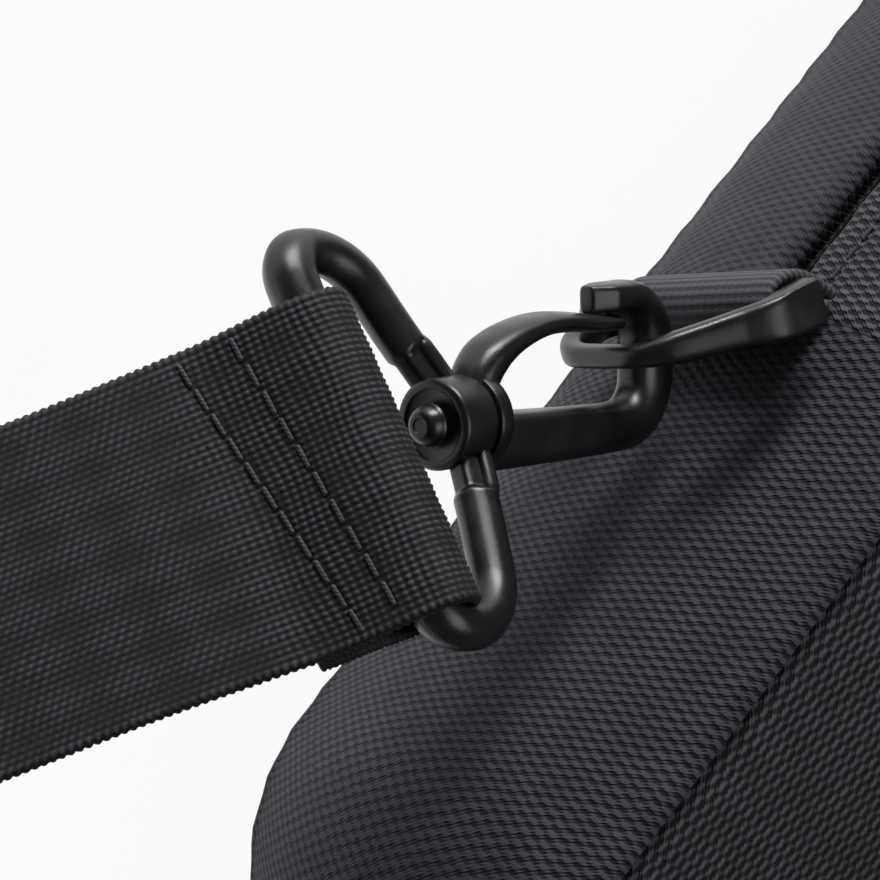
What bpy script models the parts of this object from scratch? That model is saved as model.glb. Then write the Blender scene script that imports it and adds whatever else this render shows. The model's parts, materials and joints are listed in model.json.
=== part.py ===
"""Drum stick bag with a clip-on shoulder strap, as an assembly of separate pieces.

Units are metres, +Z is up.  The bag lies on its back panel: X runs along the sticks, +Y is the
spine side that carries the grab handle, -Y is the side that unzips, and the origin is the centre
of the back panel's outer face.  Suffix _a is the +X end, where the strap is clipped on, and _b is
the -X end, where the strap lies unclipped beside the bag.
"""

import math

import bmesh
import bpy
import numpy as np
from mathutils import Matrix, Vector

MM = 0.001
CLEAR = 0.3 * MM  # gap between neighbouring pieces

# Bag shell
LENGTH = 470 * MM  # front and back panel, along X
WIDTH = 245 * MM  # front and back panel, along Y
THICK = 70 * MM
CORNER = 28 * MM  # plan radius of a panel's corners
BULGE = 8 * MM  # how far the side gusset swells at mid height
WALL = 4 * MM  # padded wall
EDGE_ROLL = 2 * MM  # the panels' rolled edges
SPINE_STRIP = 100 * MM  # the part of the front panel that stays with the back half
ZIP_HEIGHT = 35 * MM
ZIP_GROOVE = 2.4 * MM
CORNER_STEPS = 7

# Zip
COIL_DEPTH = 2.0 * MM  # across the groove, into the bag
COIL_RECESS = 1.2 * MM  # how far the coil lies under the gusset's face
COIL_HEIGHT = 0.75 * MM  # one half
SLIDER_LONG, SLIDER_WIDE, SLIDER_PLATE = 12 * MM, 9 * MM, 1.8 * MM
SLIDER_APART = 16 * MM  # between the two sliders' centres
BAIL_R = 0.9 * MM
BAIL_RISE = 2.9 * MM
BAIL_SPAN = 7.4 * MM
PULL_LONG, PULL_WIDE, PULL_THICK = 24 * MM, 6 * MM, 1.6 * MM
PULL_EYE_R = 2.2 * MM
PULL_EYE_LONG = 4.6 * MM

# Front pocket, two fabric layers lying flat on the front panel
POCKET_LONG, POCKET_WIDE, POCKET_THICK = 330 * MM, 105 * MM, 4.5 * MM
POCKET_CENTRE_Y = -48 * MM
POCKET_CORNER = 14 * MM
POCKET_ZIP_INSET = 16 * MM  # from the pocket's spine-side edge

# Stick sleeves on the back panel, inside
SLEEVE_LONG, SLEEVE_WIDE, SLEEVE_HIGH = 330 * MM, 100 * MM, 20 * MM
SLEEVE_WALL = 1.6 * MM
SLEEVE_APART = 8 * MM
SLEEVE_START = -182 * MM  # closed end, along X

# Grab handle on the spine gusset
HANDLE_R = 6 * MM
HANDLE_SPAN = 144 * MM
HANDLE_ARCH = 34 * MM
HANDLE_LEAD = 14 * MM  # straight end inside its loop
HANDLE_DROOP = math.radians(50)
ANCHOR_THICK = 2 * MM
ANCHOR_LONG, ANCHOR_WIDE = 34 * MM, 25 * MM
ANCHOR_LOOP = 1.8 * MM
ANCHOR_LOOP_LONG = 11 * MM

# Shoulder strap webbing
STRAP_WIDE = 38 * MM
STRAP_THICK = 1.6 * MM
LAYER_GAP = 0.4 * MM
SEWN_FOLD = 22 * MM  # doubled end that is sewn round the clipped swivel's bar
FOLD_CLOSE = 14 * MM  # from a bar to where the two layers meet
LEAD_STRAIGHT = 60 * MM
TURN_R = 50 * MM
LAST_STRAIGHT = 36 * MM
STRAP_CORNER_B = -235 * MM  # X where the strap turns round the far end
TAIL_END = 100 * MM  # X where the strap's free tail ends
STRAP_LOW = STRAP_WIDE / 2 + CLEAR
CLIMB = 95 * MM  # length over which the strap leaves the floor beside the tri-glide
GLIDE_BEFORE, GLIDE_AFTER = 95 * MM, 80 * MM  # level lengths either side of the tri-glide's middle
FLOOR_RUN = 40 * MM
LAST_CLIMB, LAST_LEVEL = 98 * MM, 12 * MM

# Tri-glide strap adjuster
GLIDE_LONG, GLIDE_BAR, GLIDE_RIM = 26 * MM, 5 * MM, 3.6 * MM
GLIDE_SKIN = 2.8 * MM
GLIDE_X = 0.0

# Tabs and D-rings
TAB_WIDE = 25 * MM
TAB_THICK = 1.5 * MM
D_THICK = 3.4 * MM
D_EDGE = 0.9 * MM  # rounding of the bar's edges
D_RIM = 3.4 * MM
D_SIDE_ROOM = 0.8 * MM  # beside the tab
D_OUTER = TAB_WIDE + 2 * (D_RIM + D_SIDE_ROOM)
D_BOW = 22 * MM  # outer width at the bow
D_CORNER = 6.2 * MM  # centreline radius of the bow's corners
D_FOOT = 2.5 * MM  # half size of the flared feet
D_SLIM = 1.4 * MM  # half size of the bow
D_FOOT_LONG = 9 * MM
D_SQUARE = 4.4 * MM  # how far the legs run square to the bar, past the tab
D_REACH = 17.3 * MM  # bar centre to bow centre

# Swivel ring and hook, along the swivel axis from the boss's strap-side face
BOSS_R, BOSS_LONG = 5.2 * MM, 5.6 * MM
FLANGE_R, FLANGE_LONG = 5.4 * MM, 2.3 * MM
RING_ROD = 3.0 * MM  # radius of the bar that the webbing turns round
RING_ARM = 2.6 * MM
RING_NECK = 2.1 * MM
RING_HALF = 23.2 * MM
RING_NECK_LONG = 9.0 * MM  # from the boss's middle to where the arm thickens
RING_BACK = 12.4 * MM  # boss face to the webbing bar
RING_LEAN = math.radians(17)
RING_FALL = 0.7 * MM  # how far the arms' roots lie behind the boss's strap-side face
RING_FRONT_BEND, RING_BAR_BEND = 7.5 * MM, 4.2 * MM
PIN_R = 1.9 * MM
PIN_HEAD_R, PIN_HEAD_HIGH = 2.5 * MM, 1.9 * MM
PIN_FIT = 0.1 * MM
SHANK_LOW = -3.2 * MM  # shank's centreline below the swivel axis
SHANK_HALF, CURL_HALF, TIP_HALF = 3.0 * MM, 3.0 * MM, 1.65 * MM
HOOK_HALF_WIDE = 2.75 * MM
CURL_X = 39.2 * MM  # centreline of the hook's upright
CURL_TURN = 6.3 * MM  # height where the upright turns into the curl
SHANK_BEND = 5.7 * MM
TIP_HIGH = 12.2 * MM
TIP_X = 29.4 * MM
GATE_HALF_WIDE = 3.1 * MM
GATE_ROOT_HALF, GATE_TIP_HALF = 1.3 * MM, 1.0 * MM
GATE_ROOT = (9.9 * MM, 4.2 * MM)
GATE_END = 33.0 * MM

# Where the clipped end hangs
D_A_CENTRE = Vector((LENGTH / 2 + BULGE + 6.3 * MM, WIDTH / 2 - SPINE_STRIP + 6.9 * MM, 37 * MM))
D_A_BAR = Vector((0, -0.266, 0.964)).normalized()
SWIVEL_AXIS = Vector((-0.730, -0.6006, -0.3264)).normalized()
HOOK_UP = Vector((0.660, -0.743, -0.109)).normalized()
RING_TURN = Vector((-0.6525, 0.4693, 0.5942)).normalized()
STRAP_AWAY = Vector((0.4311, 0.8742, -0.2168)).normalized()
STRAP_OFF_CENTRE = 1.0 * MM  # the webbing lies against one end of ring a's bar
BOSS_A = D_A_CENTRE + Vector((30.8, 38.3, 15.7)) * MM
BOW_IN_HOOK = Vector((33.8, 4.5, -0.6)) * MM  # bow's centre in the hook's own frame
TAB_ROOT_Y = WIDTH / 2 - SPINE_STRIP + 1.8 * MM
HOOK_B_HEIGHT = RING_HALF + RING_ROD + CLEAR


# ---------------------------------------------------------------- materials and objects


def material(name, rgb, roughness, metallic=0.0):
    """A Principled material for one piece."""
    mat = bpy.data.materials.new(name)
    mat.use_nodes = True
    shader = mat.node_tree.nodes["Principled BSDF"]
    shader.inputs["Base Color"].default_value = (*rgb, 1.0)
    shader.inputs["Roughness"].default_value = roughness
    shader.inputs["Metallic"].default_value = metallic
    mat.diffuse_color = (*rgb, 1.0)
    return mat


FABRIC = ((0.032, 0.032, 0.040), 0.85)
LINING = ((0.060, 0.060, 0.064), 0.9)
WEBBING = ((0.026, 0.028, 0.032), 0.8)
ACETAL = ((0.010, 0.010, 0.011), 0.35)
COIL = ((0.012, 0.012, 0.013), 0.5)


def add(name, verts, faces, finish, parent=None, place=None, smooth=True):
    """A closed mesh as a named object, with its normals pointing out."""
    mesh = bpy.data.meshes.new(name)
    bm = bmesh.new()
    made = [bm.verts.new(v) for v in verts]
    for face in faces:
        bm.faces.new([made[i] for i in face])
    bmesh.ops.recalc_face_normals(bm, faces=bm.faces)
    bm.to_mesh(mesh)
    bm.free()
    obj = bpy.data.objects.new(name, mesh)
    bpy.context.scene.collection.objects.link(obj)
    if finish is not None:
        mesh.materials.append(material(name, *finish))
    if smooth:
        mesh.shade_smooth()
        mesh.set_sharp_from_angle(angle=math.radians(35))
    if place is not None:
        obj.matrix_local = place
    obj.parent = parent
    return obj


def empty(name, place, parent=None):
    """An empty on a joint's axis, which its moving pieces hang from."""
    obj = bpy.data.objects.new(name, None)
    bpy.context.scene.collection.objects.link(obj)
    obj.matrix_local = place
    obj.parent = parent
    return obj


def frame(origin, x, y):
    """The matrix of a frame from its origin, its X axis and a direction near its Y axis."""
    x = Vector(x).normalized()
    z = x.cross(Vector(y)).normalized()
    y = z.cross(x)
    place = Matrix((x, y, z)).transposed().to_4x4()
    place.translation = origin
    return place


def combine(obj, other, operation):
    """Adds or cuts the hidden solid other, with an exact Boolean."""
    other.hide_render = True
    other.display_type = "WIRE"
    other.name = other.name + "_tool"
    mod = obj.modifiers.new(operation.lower(), "BOOLEAN")
    mod.operation = operation
    mod.solver = "EXACT"
    mod.object = other
    return obj


def round_edges(obj, width, segments=2, angle=40):
    """A Bevel on the edges sharper than an angle."""
    mod = obj.modifiers.new("edges", "BEVEL")
    mod.width = width
    mod.segments = segments
    mod.limit_method = "ANGLE"
    mod.angle_limit = math.radians(angle)
    return obj


# ---------------------------------------------------------------- shapes


def loft(rings, closed=False):
    """Vertices and faces of a skin over rings of equally many points, capped unless closed."""
    count = len(rings[0])
    verts = [tuple(p) for ring in rings for p in ring]
    faces = []
    for k in range(len(rings) if closed else len(rings) - 1):
        low, high = k * count, ((k + 1) % len(rings)) * count
        for i in range(count):
            j = (i + 1) % count
            faces.append((low + i, low + j, high + j, high + i))
    if not closed:
        faces.append(tuple(range(count)))
        faces.append(tuple(range(len(verts) - count, len(verts))))
    return verts, faces


def box(low, high):
    """Vertices and faces of an upright box between two corners."""
    (x0, y0, z0), (x1, y1, z1) = low, high
    return loft([[(x0, y0, z), (x1, y0, z), (x1, y1, z), (x0, y1, z)] for z in (z0, z1)])


def rounded(half_x, half_y, radius, steps):
    """Points of a rounded rectangle, counter-clockwise."""
    points = []
    for quarter, (sx, sy) in enumerate(((1, 1), (-1, 1), (-1, -1), (1, -1))):
        for k in range(steps + 1):
            turn = math.pi / 2 * (quarter + k / steps)
            points.append((sx * (half_x - radius) + radius * math.cos(turn),
                           sy * (half_y - radius) + radius * math.sin(turn)))
    return points


def prism(outline, low, high):
    """An outline in X and Y, extruded from low to high along Z."""
    return loft([[(x, y, z) for x, y in outline] for z in (low, high)])


def turned(profile, steps=24):
    """A solid of revolution about X from (x, radius) pairs that start and end off the axis."""
    rings = []
    for x, r in profile:
        turns = [2 * math.pi * k / steps for k in range(steps)]
        rings.append([(x, r * math.cos(t), r * math.sin(t)) for t in turns])
    return loft(rings)


def sweep(path, width_dir, half_thick, half_wide, corner=4, closed=False):
    """A bar of oval to square section along a path that bends about width_dir.

    Each station has its half thickness and half width; corner is the points per section corner.
    """
    path = np.asarray(path, float)
    count = len(path)
    wide = np.broadcast_to(np.asarray(width_dir, float), path.shape)
    if closed:
        along = np.roll(path, -1, 0) - np.roll(path, 1, 0)
    else:
        along = np.gradient(path, axis=0)
    side = np.cross(wide, along)
    side /= np.linalg.norm(side, axis=1, keepdims=True)
    rings = []
    for k in range(count):
        thick, broad = half_thick[k], half_wide[k]
        radius = min(thick, broad) * (0.98 if corner > 1 else 0.0)
        if corner > 1:
            section = rounded(thick, broad, radius, corner - 1)
        else:
            section = [(thick, broad), (-thick, broad), (-thick, -broad), (thick, -broad)]
        rings.append([tuple(path[k] + side[k] * a + wide[k] * b) for a, b in section])
    return loft(rings, closed)


def smoothstep(t):
    """0 below 0, 1 above 1, and a smooth rise between."""
    t = min(1.0, max(0.0, t))
    return t * t * (3 - 2 * t)


# ---------------------------------------------------------------- bag shells


def gusset(z):
    """How far the side stands out of the panels' outline at height z."""
    return BULGE * (1 - (2 * z / THICK - 1) ** 2)


def bag_ring(offset, z):
    """A rounded rectangle of the bag's plan, grown by offset, at height z."""
    plan = rounded(LENGTH / 2 + offset, WIDTH / 2 + offset, CORNER + offset, CORNER_STEPS)
    return [(x, y, z) for x, y in plan]


def bag_solid(name, inset, finish):
    """The bag's whole outer form, drawn in by inset all round."""
    low, high = inset, THICK - inset
    levels = np.linspace(low + EDGE_ROLL, high - EDGE_ROLL, 9)
    rings = [bag_ring(-EDGE_ROLL - inset, low)]
    rings += [bag_ring(gusset(z) - inset, z) for z in levels]
    rings += [bag_ring(-EDGE_ROLL - inset, high)]
    return add(name, *loft(rings), finish)


def hinge_y():
    """Where the front panel folds, and the zip ends at the cross seams."""
    return WIDTH / 2 - SPINE_STRIP


def shells():
    """The back half with its spine, and the lid that unzips from it."""
    far = LENGTH
    zip_low, zip_high = ZIP_HEIGHT - ZIP_GROOVE / 2, ZIP_HEIGHT + ZIP_GROOVE / 2
    fold = hinge_y()
    back = bag_solid("back_shell", 0.0, FABRIC)
    combine(back, bag_solid("back_hollow", WALL, None), "DIFFERENCE")
    mouth = add("back_mouth", *box((-far, -far, zip_low), (far, fold, far)), None)
    combine(back, mouth, "DIFFERENCE")
    hinge = empty("lid_hinge", Matrix.Translation((0, fold, THICK)))
    lid = bag_solid("lid_shell", 0.0, FABRIC)
    combine(lid, bag_solid("lid_hollow", WALL, None), "DIFFERENCE")
    keep = add("lid_keep", *box((-far, -far, zip_high), (far, fold - CLEAR, far)), None)
    combine(lid, keep, "INTERSECT")
    lid.parent = hinge
    lid.matrix_parent_inverse = Matrix.Translation((0, -fold, -THICK))
    return hinge


def zip_line(offset):
    """The zip's route round the three opening sides, in plan, grown by offset."""
    hx, hy, r = LENGTH / 2 + offset, WIDTH / 2 + offset, CORNER + offset
    end = hinge_y() - 2 * CLEAR
    points = [(hx, end)]
    for sx, start in ((1, 0.0), (-1, -math.pi / 2)):
        for k in range(CORNER_STEPS + 1):
            turn = start - math.pi / 2 * k / CORNER_STEPS
            points.append((sx * (hx - r) + r * math.cos(turn), -(hy - r) + r * math.sin(turn)))
    return points + [(-hx, end)]


def zip_coil(name, low, parent):
    """One half of the zip's coil, a strip with its ends at the cross seams."""
    mid = gusset(ZIP_HEIGHT)
    outer = zip_line(mid - COIL_RECESS)
    inner = zip_line(mid - COIL_RECESS - COIL_DEPTH)
    high = low + COIL_HEIGHT
    rings = [[(*o, low), (*o, high), (*i, high), (*i, low)] for o, i in zip(outer, inner)]
    coil = add(name, *loft(rings), COIL)
    if parent is not None:
        coil.parent = parent
        coil.matrix_parent_inverse = Matrix.Translation(-parent.location)


def slider(name, place, rib_deep, parent):
    """A zip slider: X along the zip, Z out of the fabric, with a bail that carries the pull."""
    half, wide = SLIDER_LONG / 2, SLIDER_WIDE / 2
    plan = rounded(half, wide, 3 * MM, 4)
    body = add(name, *prism(plan, CLEAR, CLEAR + SLIDER_PLATE), ACETAL, parent, place)
    rib_half = ZIP_GROOVE / 2 - CLEAR
    rib = box((-half + MM, -rib_half, -rib_deep), (half - MM, rib_half, CLEAR + 0.5 * MM))
    combine(body, add(name + "_rib", *rib, None, parent, place), "UNION")
    base, rise = CLEAR + SLIDER_PLATE, BAIL_RISE
    bend, span = 1.6 * MM, BAIL_SPAN / 2
    turns = [math.pi / 2 * k / 4 for k in range(5)]
    path = [(-span, 0, base - MM)]
    path += [(-span + bend * (1 - math.cos(t)), 0, base + rise - bend * (1 - math.sin(t))) for t in turns]
    path += [(span - bend * (1 - math.sin(t)), 0, base + rise - bend * (1 - math.cos(t))) for t in turns]
    path += [(span, 0, base - MM)]
    thick = [BAIL_R] * len(path)
    bail = sweep(path, (0, 1, 0), thick, thick, corner=3)
    combine(body, add(name + "_bail", *bail, None, parent, place), "UNION")
    return body


def pull(name, place, parent):
    """A moulded pull: its eye turns on the slider's bail along X, its tongue hangs along -Y."""
    eye = [(-PULL_EYE_LONG / 2, PULL_EYE_R), (PULL_EYE_LONG / 2, PULL_EYE_R)]
    head = add(name, *turned(eye, 16), ACETAL, parent, place)
    wide, thick = PULL_WIDE / 2, PULL_THICK / 2
    neck = PULL_EYE_LONG / 2 - 0.4 * MM
    outline = [(neck, -PULL_EYE_R * 0.6), (-neck, -PULL_EYE_R * 0.6), (-neck, -5 * MM), (-wide, -9 * MM)]
    turns = [math.pi + math.pi * k / 8 for k in range(9)]
    outline += [(wide * math.cos(t), -PULL_LONG + wide + wide * math.sin(t)) for t in turns]
    outline += [(wide, -9 * MM), (neck, -5 * MM)]
    tongue = add(name + "_tongue", *prism(outline, -thick, thick), None, parent, place)
    combine(head, tongue, "UNION")
    bore_r = BAIL_R + CLEAR
    bore = turned([(-PULL_LONG / 2, bore_r), (PULL_LONG / 2, bore_r)], 12)
    combine(head, add(name + "_bore", *bore, None, parent, place), "DIFFERENCE")
    return head


def bail_height():
    """The bail bar's axis over the slider's seat."""
    return CLEAR + SLIDER_PLATE + BAIL_RISE


def zips(hinge):
    """The main zip with its two sliders, which meet in the middle of the opening side."""
    zip_coil("zip_coil_lower", ZIP_HEIGHT - CLEAR / 2 - COIL_HEIGHT, None)
    zip_coil("zip_coil_upper", ZIP_HEIGHT + CLEAR / 2, hinge)
    face = -(WIDTH / 2 + gusset(ZIP_HEIGHT))
    seat = frame((0, 0, 0), (1, 0, 0), (0, 0, 1))  # Y up, Z out of the -Y side
    for number, side in ((1, 1), (2, -1)):
        at = Vector((side * SLIDER_APART / 2, face, ZIP_HEIGHT))
        slide = empty(f"slider_{number}_slide", Matrix.Translation(at - hinge.location), hinge)
        slider(f"zip_slider_{number}", seat, COIL_RECESS - CLEAR, slide)
        swing = empty(f"pull_{number}_swing", Matrix.Translation((0, -bail_height(), 0)), slide)
        pull(f"zip_pull_{number}", seat, swing)


def front_pocket(hinge):
    """The flat pocket on the lid, with a zip groove, a coil, a slider and a pull."""
    centre = Vector((0, POCKET_CENTRE_Y, THICK + CLEAR))
    on_lid = Matrix.Translation(centre - hinge.location)
    plan = rounded(POCKET_LONG / 2, POCKET_WIDE / 2, POCKET_CORNER, 5)
    pocket = add("front_pocket", *prism(plan, 0, POCKET_THICK), FABRIC, hinge, on_lid)
    round_edges(pocket, 1.5 * MM, 2, 60)
    zip_y = POCKET_WIDE / 2 - POCKET_ZIP_INSET
    half = POCKET_LONG / 2 - POCKET_CORNER
    top = POCKET_THICK - COIL_RECESS
    groove = box((-half, zip_y - ZIP_GROOVE / 2, top - 2 * COIL_HEIGHT - CLEAR),
                 (half, zip_y + ZIP_GROOVE / 2, 2 * POCKET_THICK))
    combine(pocket, add("pocket_groove", *groove, None, hinge, on_lid), "DIFFERENCE")
    reach, wide = half - CLEAR, ZIP_GROOVE / 2 - CLEAR
    coil = box((-reach, zip_y - wide, top - 2 * COIL_HEIGHT), (reach, zip_y + wide, top))
    add("pocket_coil", *coil, COIL, hinge, on_lid)
    at = centre + Vector((-half + 2 * SLIDER_LONG, zip_y, POCKET_THICK))
    slide = empty("pocket_slide", Matrix.Translation(at - hinge.location), hinge)
    slider("pocket_slider", Matrix.Identity(4), COIL_RECESS - CLEAR, slide)
    swing = empty("pocket_pull_swing", Matrix.Translation((0, 0, bail_height())), slide)
    flat = Matrix.Rotation(math.asin((bail_height() - PULL_THICK / 2 - CLEAR) / PULL_LONG), 4, "X")
    pull("pocket_pull", flat, swing)


def stick_sleeves():
    """Two flat pockets on the back panel, open towards +X, that hold the sticks."""
    for number, side in ((1, -1), (2, 1)):
        middle = side * (SLEEVE_APART + SLEEVE_WIDE) / 2
        base = WALL + CLEAR

        def ring(x, inset):
            plan = rounded(SLEEVE_WIDE / 2 - inset, SLEEVE_HIGH / 2 - inset, 8 * MM - inset, 4)
            return [(x, middle + y, base + SLEEVE_HIGH / 2 + z) for y, z in plan]

        end = SLEEVE_START + SLEEVE_LONG
        sleeve = add(f"stick_sleeve_{number}", *loft([ring(SLEEVE_START, 0), ring(end, 0)]), LINING)
        inside = loft([ring(SLEEVE_START + SLEEVE_WALL, SLEEVE_WALL), ring(end + WALL, SLEEVE_WALL)])
        combine(sleeve, add(f"sleeve_inside_{number}", *inside, None), "DIFFERENCE")


def handle_axis_y():
    """The grab handle's ends lie this far out, in their loops on the spine gusset."""
    return WIDTH / 2 + BULGE + CLEAR + ANCHOR_THICK + CLEAR + HANDLE_R


def grab_handle():
    """A rolled webbing handle whose ends turn in two sewn loops."""
    axis = Vector((0, handle_axis_y(), ZIP_HEIGHT))
    swing = empty("handle_swing", Matrix.Translation(axis))
    half = HANDLE_SPAN / 2
    arch = np.linspace(-half + HANDLE_LEAD, half - HANDLE_LEAD, 29)
    xs = np.concatenate([[-half, -half + HANDLE_LEAD / 2], arch,
                         [half - HANDLE_LEAD / 2, half]])
    rise = [HANDLE_ARCH * smoothstep((half - HANDLE_LEAD - abs(x)) / (0.6 * half)) for x in xs]
    path = [(x, r * math.cos(HANDLE_DROOP), -r * math.sin(HANDLE_DROOP)) for x, r in zip(xs, rise)]
    wide = (0, math.sin(HANDLE_DROOP), math.cos(HANDLE_DROOP))
    thick = [HANDLE_R] * len(path)
    add("carry_handle", *sweep(path, wide, thick, thick, corner=3), WEBBING, swing)
    low = -(HANDLE_R + CLEAR + ANCHOR_THICK)
    for number, side in ((1, 1), (2, -1)):
        inner = half - HANDLE_LEAD + CLEAR
        ends = sorted((side * inner, side * (inner + ANCHOR_LONG)))
        patch = box((ends[0], low, -ANCHOR_WIDE / 2), (ends[1], low + ANCHOR_THICK, ANCHOR_WIDE / 2))
        loops = sorted((side * (inner + CLEAR), side * (inner + ANCHOR_LOOP_LONG)))
        loop_r = HANDLE_R + CLEAR + ANCHOR_LOOP
        loop = turned([(loops[0], loop_r), (loops[1], loop_r)], 16)
        room = turned([(loops[0] - MM, HANDLE_R + CLEAR), (loops[1] + MM, HANDLE_R + CLEAR)], 16)
        name, place = f"handle_anchor_{number}", Matrix.Translation(axis)
        body = add(name, *patch, WEBBING, None, place)
        combine(body, add(name + "_loop", *loop, None, None, place), "UNION")
        combine(body, add(name + "_room", *room, None, None, place), "DIFFERENCE")


# ---------------------------------------------------------------- strap hardware


def d_ring_path():
    """The D's centreline from foot to foot, X from the bar to the bow, with its half size across."""
    foot_z = (D_OUTER - D_RIM) / 2
    bow_z = (D_BOW - D_RIM) / 2
    turns = np.linspace(0, math.pi / 2, 7)
    leg = [(-D_RIM / 2, foot_z), (D_SQUARE, foot_z)]
    steps = np.linspace(0, 1, 4)[1:]
    target = (D_REACH - D_CORNER, bow_z)
    leg += [(leg[1][0] + (target[0] - leg[1][0]) * s, foot_z + (bow_z - foot_z) * s) for s in steps]
    leg += [(target[0] + D_CORNER * math.sin(t), bow_z - D_CORNER * (1 - math.cos(t))) for t in turns[1:]]
    path = leg + [(x, -z) for x, z in reversed(leg)]
    half = [D_FOOT + (D_SLIM - D_FOOT) * smoothstep((x + D_RIM / 2) / D_FOOT_LONG) for x, _ in path]
    return path, half


def d_ring(name, place):
    """A moulded D: a rounded square bar for the tab, flared square feet and a slim bow."""
    turn = empty(f"{name}_turn", place)
    path, half = d_ring_path()
    rim = [min(D_RIM / 2, D_SLIM + 0.2 * MM)] * len(path)
    bow = sweep([(x, 0, z) for x, z in path], (0, 1, 0), rim, half, corner=3)
    ring = add(name, *bow, ACETAL, turn)
    reach = D_OUTER / 2 - D_RIM / 2
    bar = box((-D_RIM / 2, -D_THICK / 2, -reach), (D_RIM / 2, D_THICK / 2, reach))
    bar = round_edges(add(name + "_bar", *bar, None, turn), D_EDGE, 2, 50)
    return combine(ring, bar, "UNION")


def d_bar_reach():
    """The radius of the D's rounded square bar over its corners."""
    return (max(D_RIM, D_THICK) / 2 - D_EDGE) * math.sqrt(2) + D_EDGE


def tab(name, place, root, lead):
    """The webbing tab that holds a D-ring's bar, with both its layers leaving one seam."""
    turn_r = d_bar_reach() + CLEAR + TAB_THICK / 2
    inverse = place.inverted()
    start = inverse @ root
    handle = inverse @ (root + lead)
    layer = TAB_THICK / 2 + LAYER_GAP / 2
    steps = np.linspace(0, 1, 9)
    base = [(start * (1 - s) ** 2 + handle * (2 * s * (1 - s))) for s in steps]
    base = np.array([(p.x, p.y, 0.0) for p in base])
    along = np.gradient(base, axis=0)
    side = np.stack([-along[:, 1], along[:, 0], 0 * along[:, 0]], 1)
    side /= np.linalg.norm(side, axis=1, keepdims=True)
    off = np.array([layer + (turn_r - layer) * smoothstep((s - 0.1) / 0.9) for s in steps])[:, None]
    out, back = base + side * off, base - side * off
    last_side, last_along = side[-1], np.cross(side[-1], (0, 0, 1.0))
    turns = np.linspace(0, math.pi, 9)[1:-1, None]
    arc = base[-1] + turn_r * (np.cos(turns) * last_side + np.sin(turns) * last_along)
    path = np.concatenate([out, arc, back[::-1]])
    count = len(path)
    band = sweep(path, (0, 0, 1), [TAB_THICK / 2] * count, [TAB_WIDE / 2] * count, corner=1)
    return add(name, *band, WEBBING, None, place)


def ring_path():
    """The swivel ring's centreline: X along the bar, Y from the boss towards the strap."""
    front, bar = RING_FRONT_BEND, RING_BAR_BEND
    centre = (RING_HALF - front, front + RING_FALL)
    turns = np.linspace(-math.pi / 2 + RING_LEAN, 0, 8)
    bend = [(centre[0] + front * math.cos(t), centre[1] + front * math.sin(t)) for t in turns]
    first = bend[0]
    arm = [(x, first[1] - (first[0] - x) * math.tan(RING_LEAN)) for x in
           (BOSS_R / 2, RING_NECK_LONG - 3 * MM, RING_NECK_LONG - 0.4 * MM, RING_NECK_LONG + 0.8 * MM,
            RING_NECK_LONG + 4.5 * MM)]
    turns = np.linspace(0, math.pi / 2, 6)
    heel = [(RING_HALF - bar + bar * math.cos(t), RING_BACK - bar + bar * math.sin(t)) for t in turns]
    right = arm + bend + heel
    left = [(-x, y) for x, y in reversed(right)]
    return right + [(0.0, RING_BACK)] + left


def swivel_ring(name, axis):
    """The ring that the webbing runs through, with the boss that the hook turns in."""
    path = [(x, y, 0.0) for x, y in ring_path()]
    heel = RING_BACK - RING_BAR_BEND
    radii = [RING_NECK if abs(x) < RING_NECK_LONG and y < RING_BACK / 2
             else np.interp(y, [heel, RING_BACK], [RING_ARM, RING_ROD]) for x, y, _ in path]
    rod = sweep(path, (0, 0, 1), radii, radii, corner=4)
    ring = add(name, *rod, ACETAL, axis)
    edge = 0.5 * MM
    profile = [(0, BOSS_R - edge), (edge, BOSS_R), (BOSS_LONG - edge, BOSS_R), (BOSS_LONG, BOSS_R - edge)]
    across = Matrix.Rotation(-math.pi / 2, 4, "Z")  # the turned solid's X along -Y
    combine(ring, add(name + "_boss", *turned(profile), None, axis, across), "UNION")
    bore_r = PIN_R + PIN_FIT
    bore = turned([(-BOSS_LONG, bore_r), (2 * BOSS_LONG, bore_r)])
    combine(ring, add(name + "_bore", *bore, None, axis, across), "DIFFERENCE")
    return ring


def hook_path():
    """The hook's centreline with its half thickness: X along the swivel axis, Y up."""
    bend = SHANK_BEND
    path = [(BOSS_LONG + CLEAR + FLANGE_LONG / 2, SHANK_LOW), ((CURL_X - bend) / 2, SHANK_LOW)]
    turns = np.linspace(-math.pi / 2, 0, 7)
    path += [(CURL_X - bend + bend * math.cos(t), SHANK_LOW + bend + bend * math.sin(t)) for t in turns]
    half = [SHANK_HALF, SHANK_HALF] + list(np.linspace(SHANK_HALF, CURL_HALF, 7))
    curl = TIP_HIGH - CURL_TURN
    turns = np.linspace(0, math.pi / 2, 8)
    path += [(CURL_X - curl + curl * math.cos(t), CURL_TURN + curl * math.sin(t)) for t in turns]
    half += list(np.linspace(CURL_HALF, TIP_HALF, 8))
    return path + [(TIP_X, TIP_HIGH)], half + [TIP_HALF]


def hook(name, axis):
    """The snap hook: a flange on the swivel, a shank, an upright and a curled tip."""
    path, half = hook_path()
    count = len(path)
    wide = [HOOK_HALF_WIDE] * count
    start = BOSS_LONG + CLEAR
    edge = 0.4 * MM
    body = add(name, *sweep([(x, y, 0) for x, y in path], (0, 0, 1), half, wide, corner=3), ACETAL, axis)
    profile = [(start, FLANGE_R - edge), (start + edge, FLANGE_R),
               (start + FLANGE_LONG - edge, FLANGE_R), (start + FLANGE_LONG, FLANGE_R - edge)]
    combine(body, add(name + "_flange", *turned(profile), None, axis), "UNION")
    bore_r = PIN_R + PIN_FIT
    bore = turned([(0, bore_r), (start + FLANGE_LONG - 0.3 * MM, bore_r)])
    combine(body, add(name + "_bore", *bore, None, axis), "DIFFERENCE")
    return body


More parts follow.
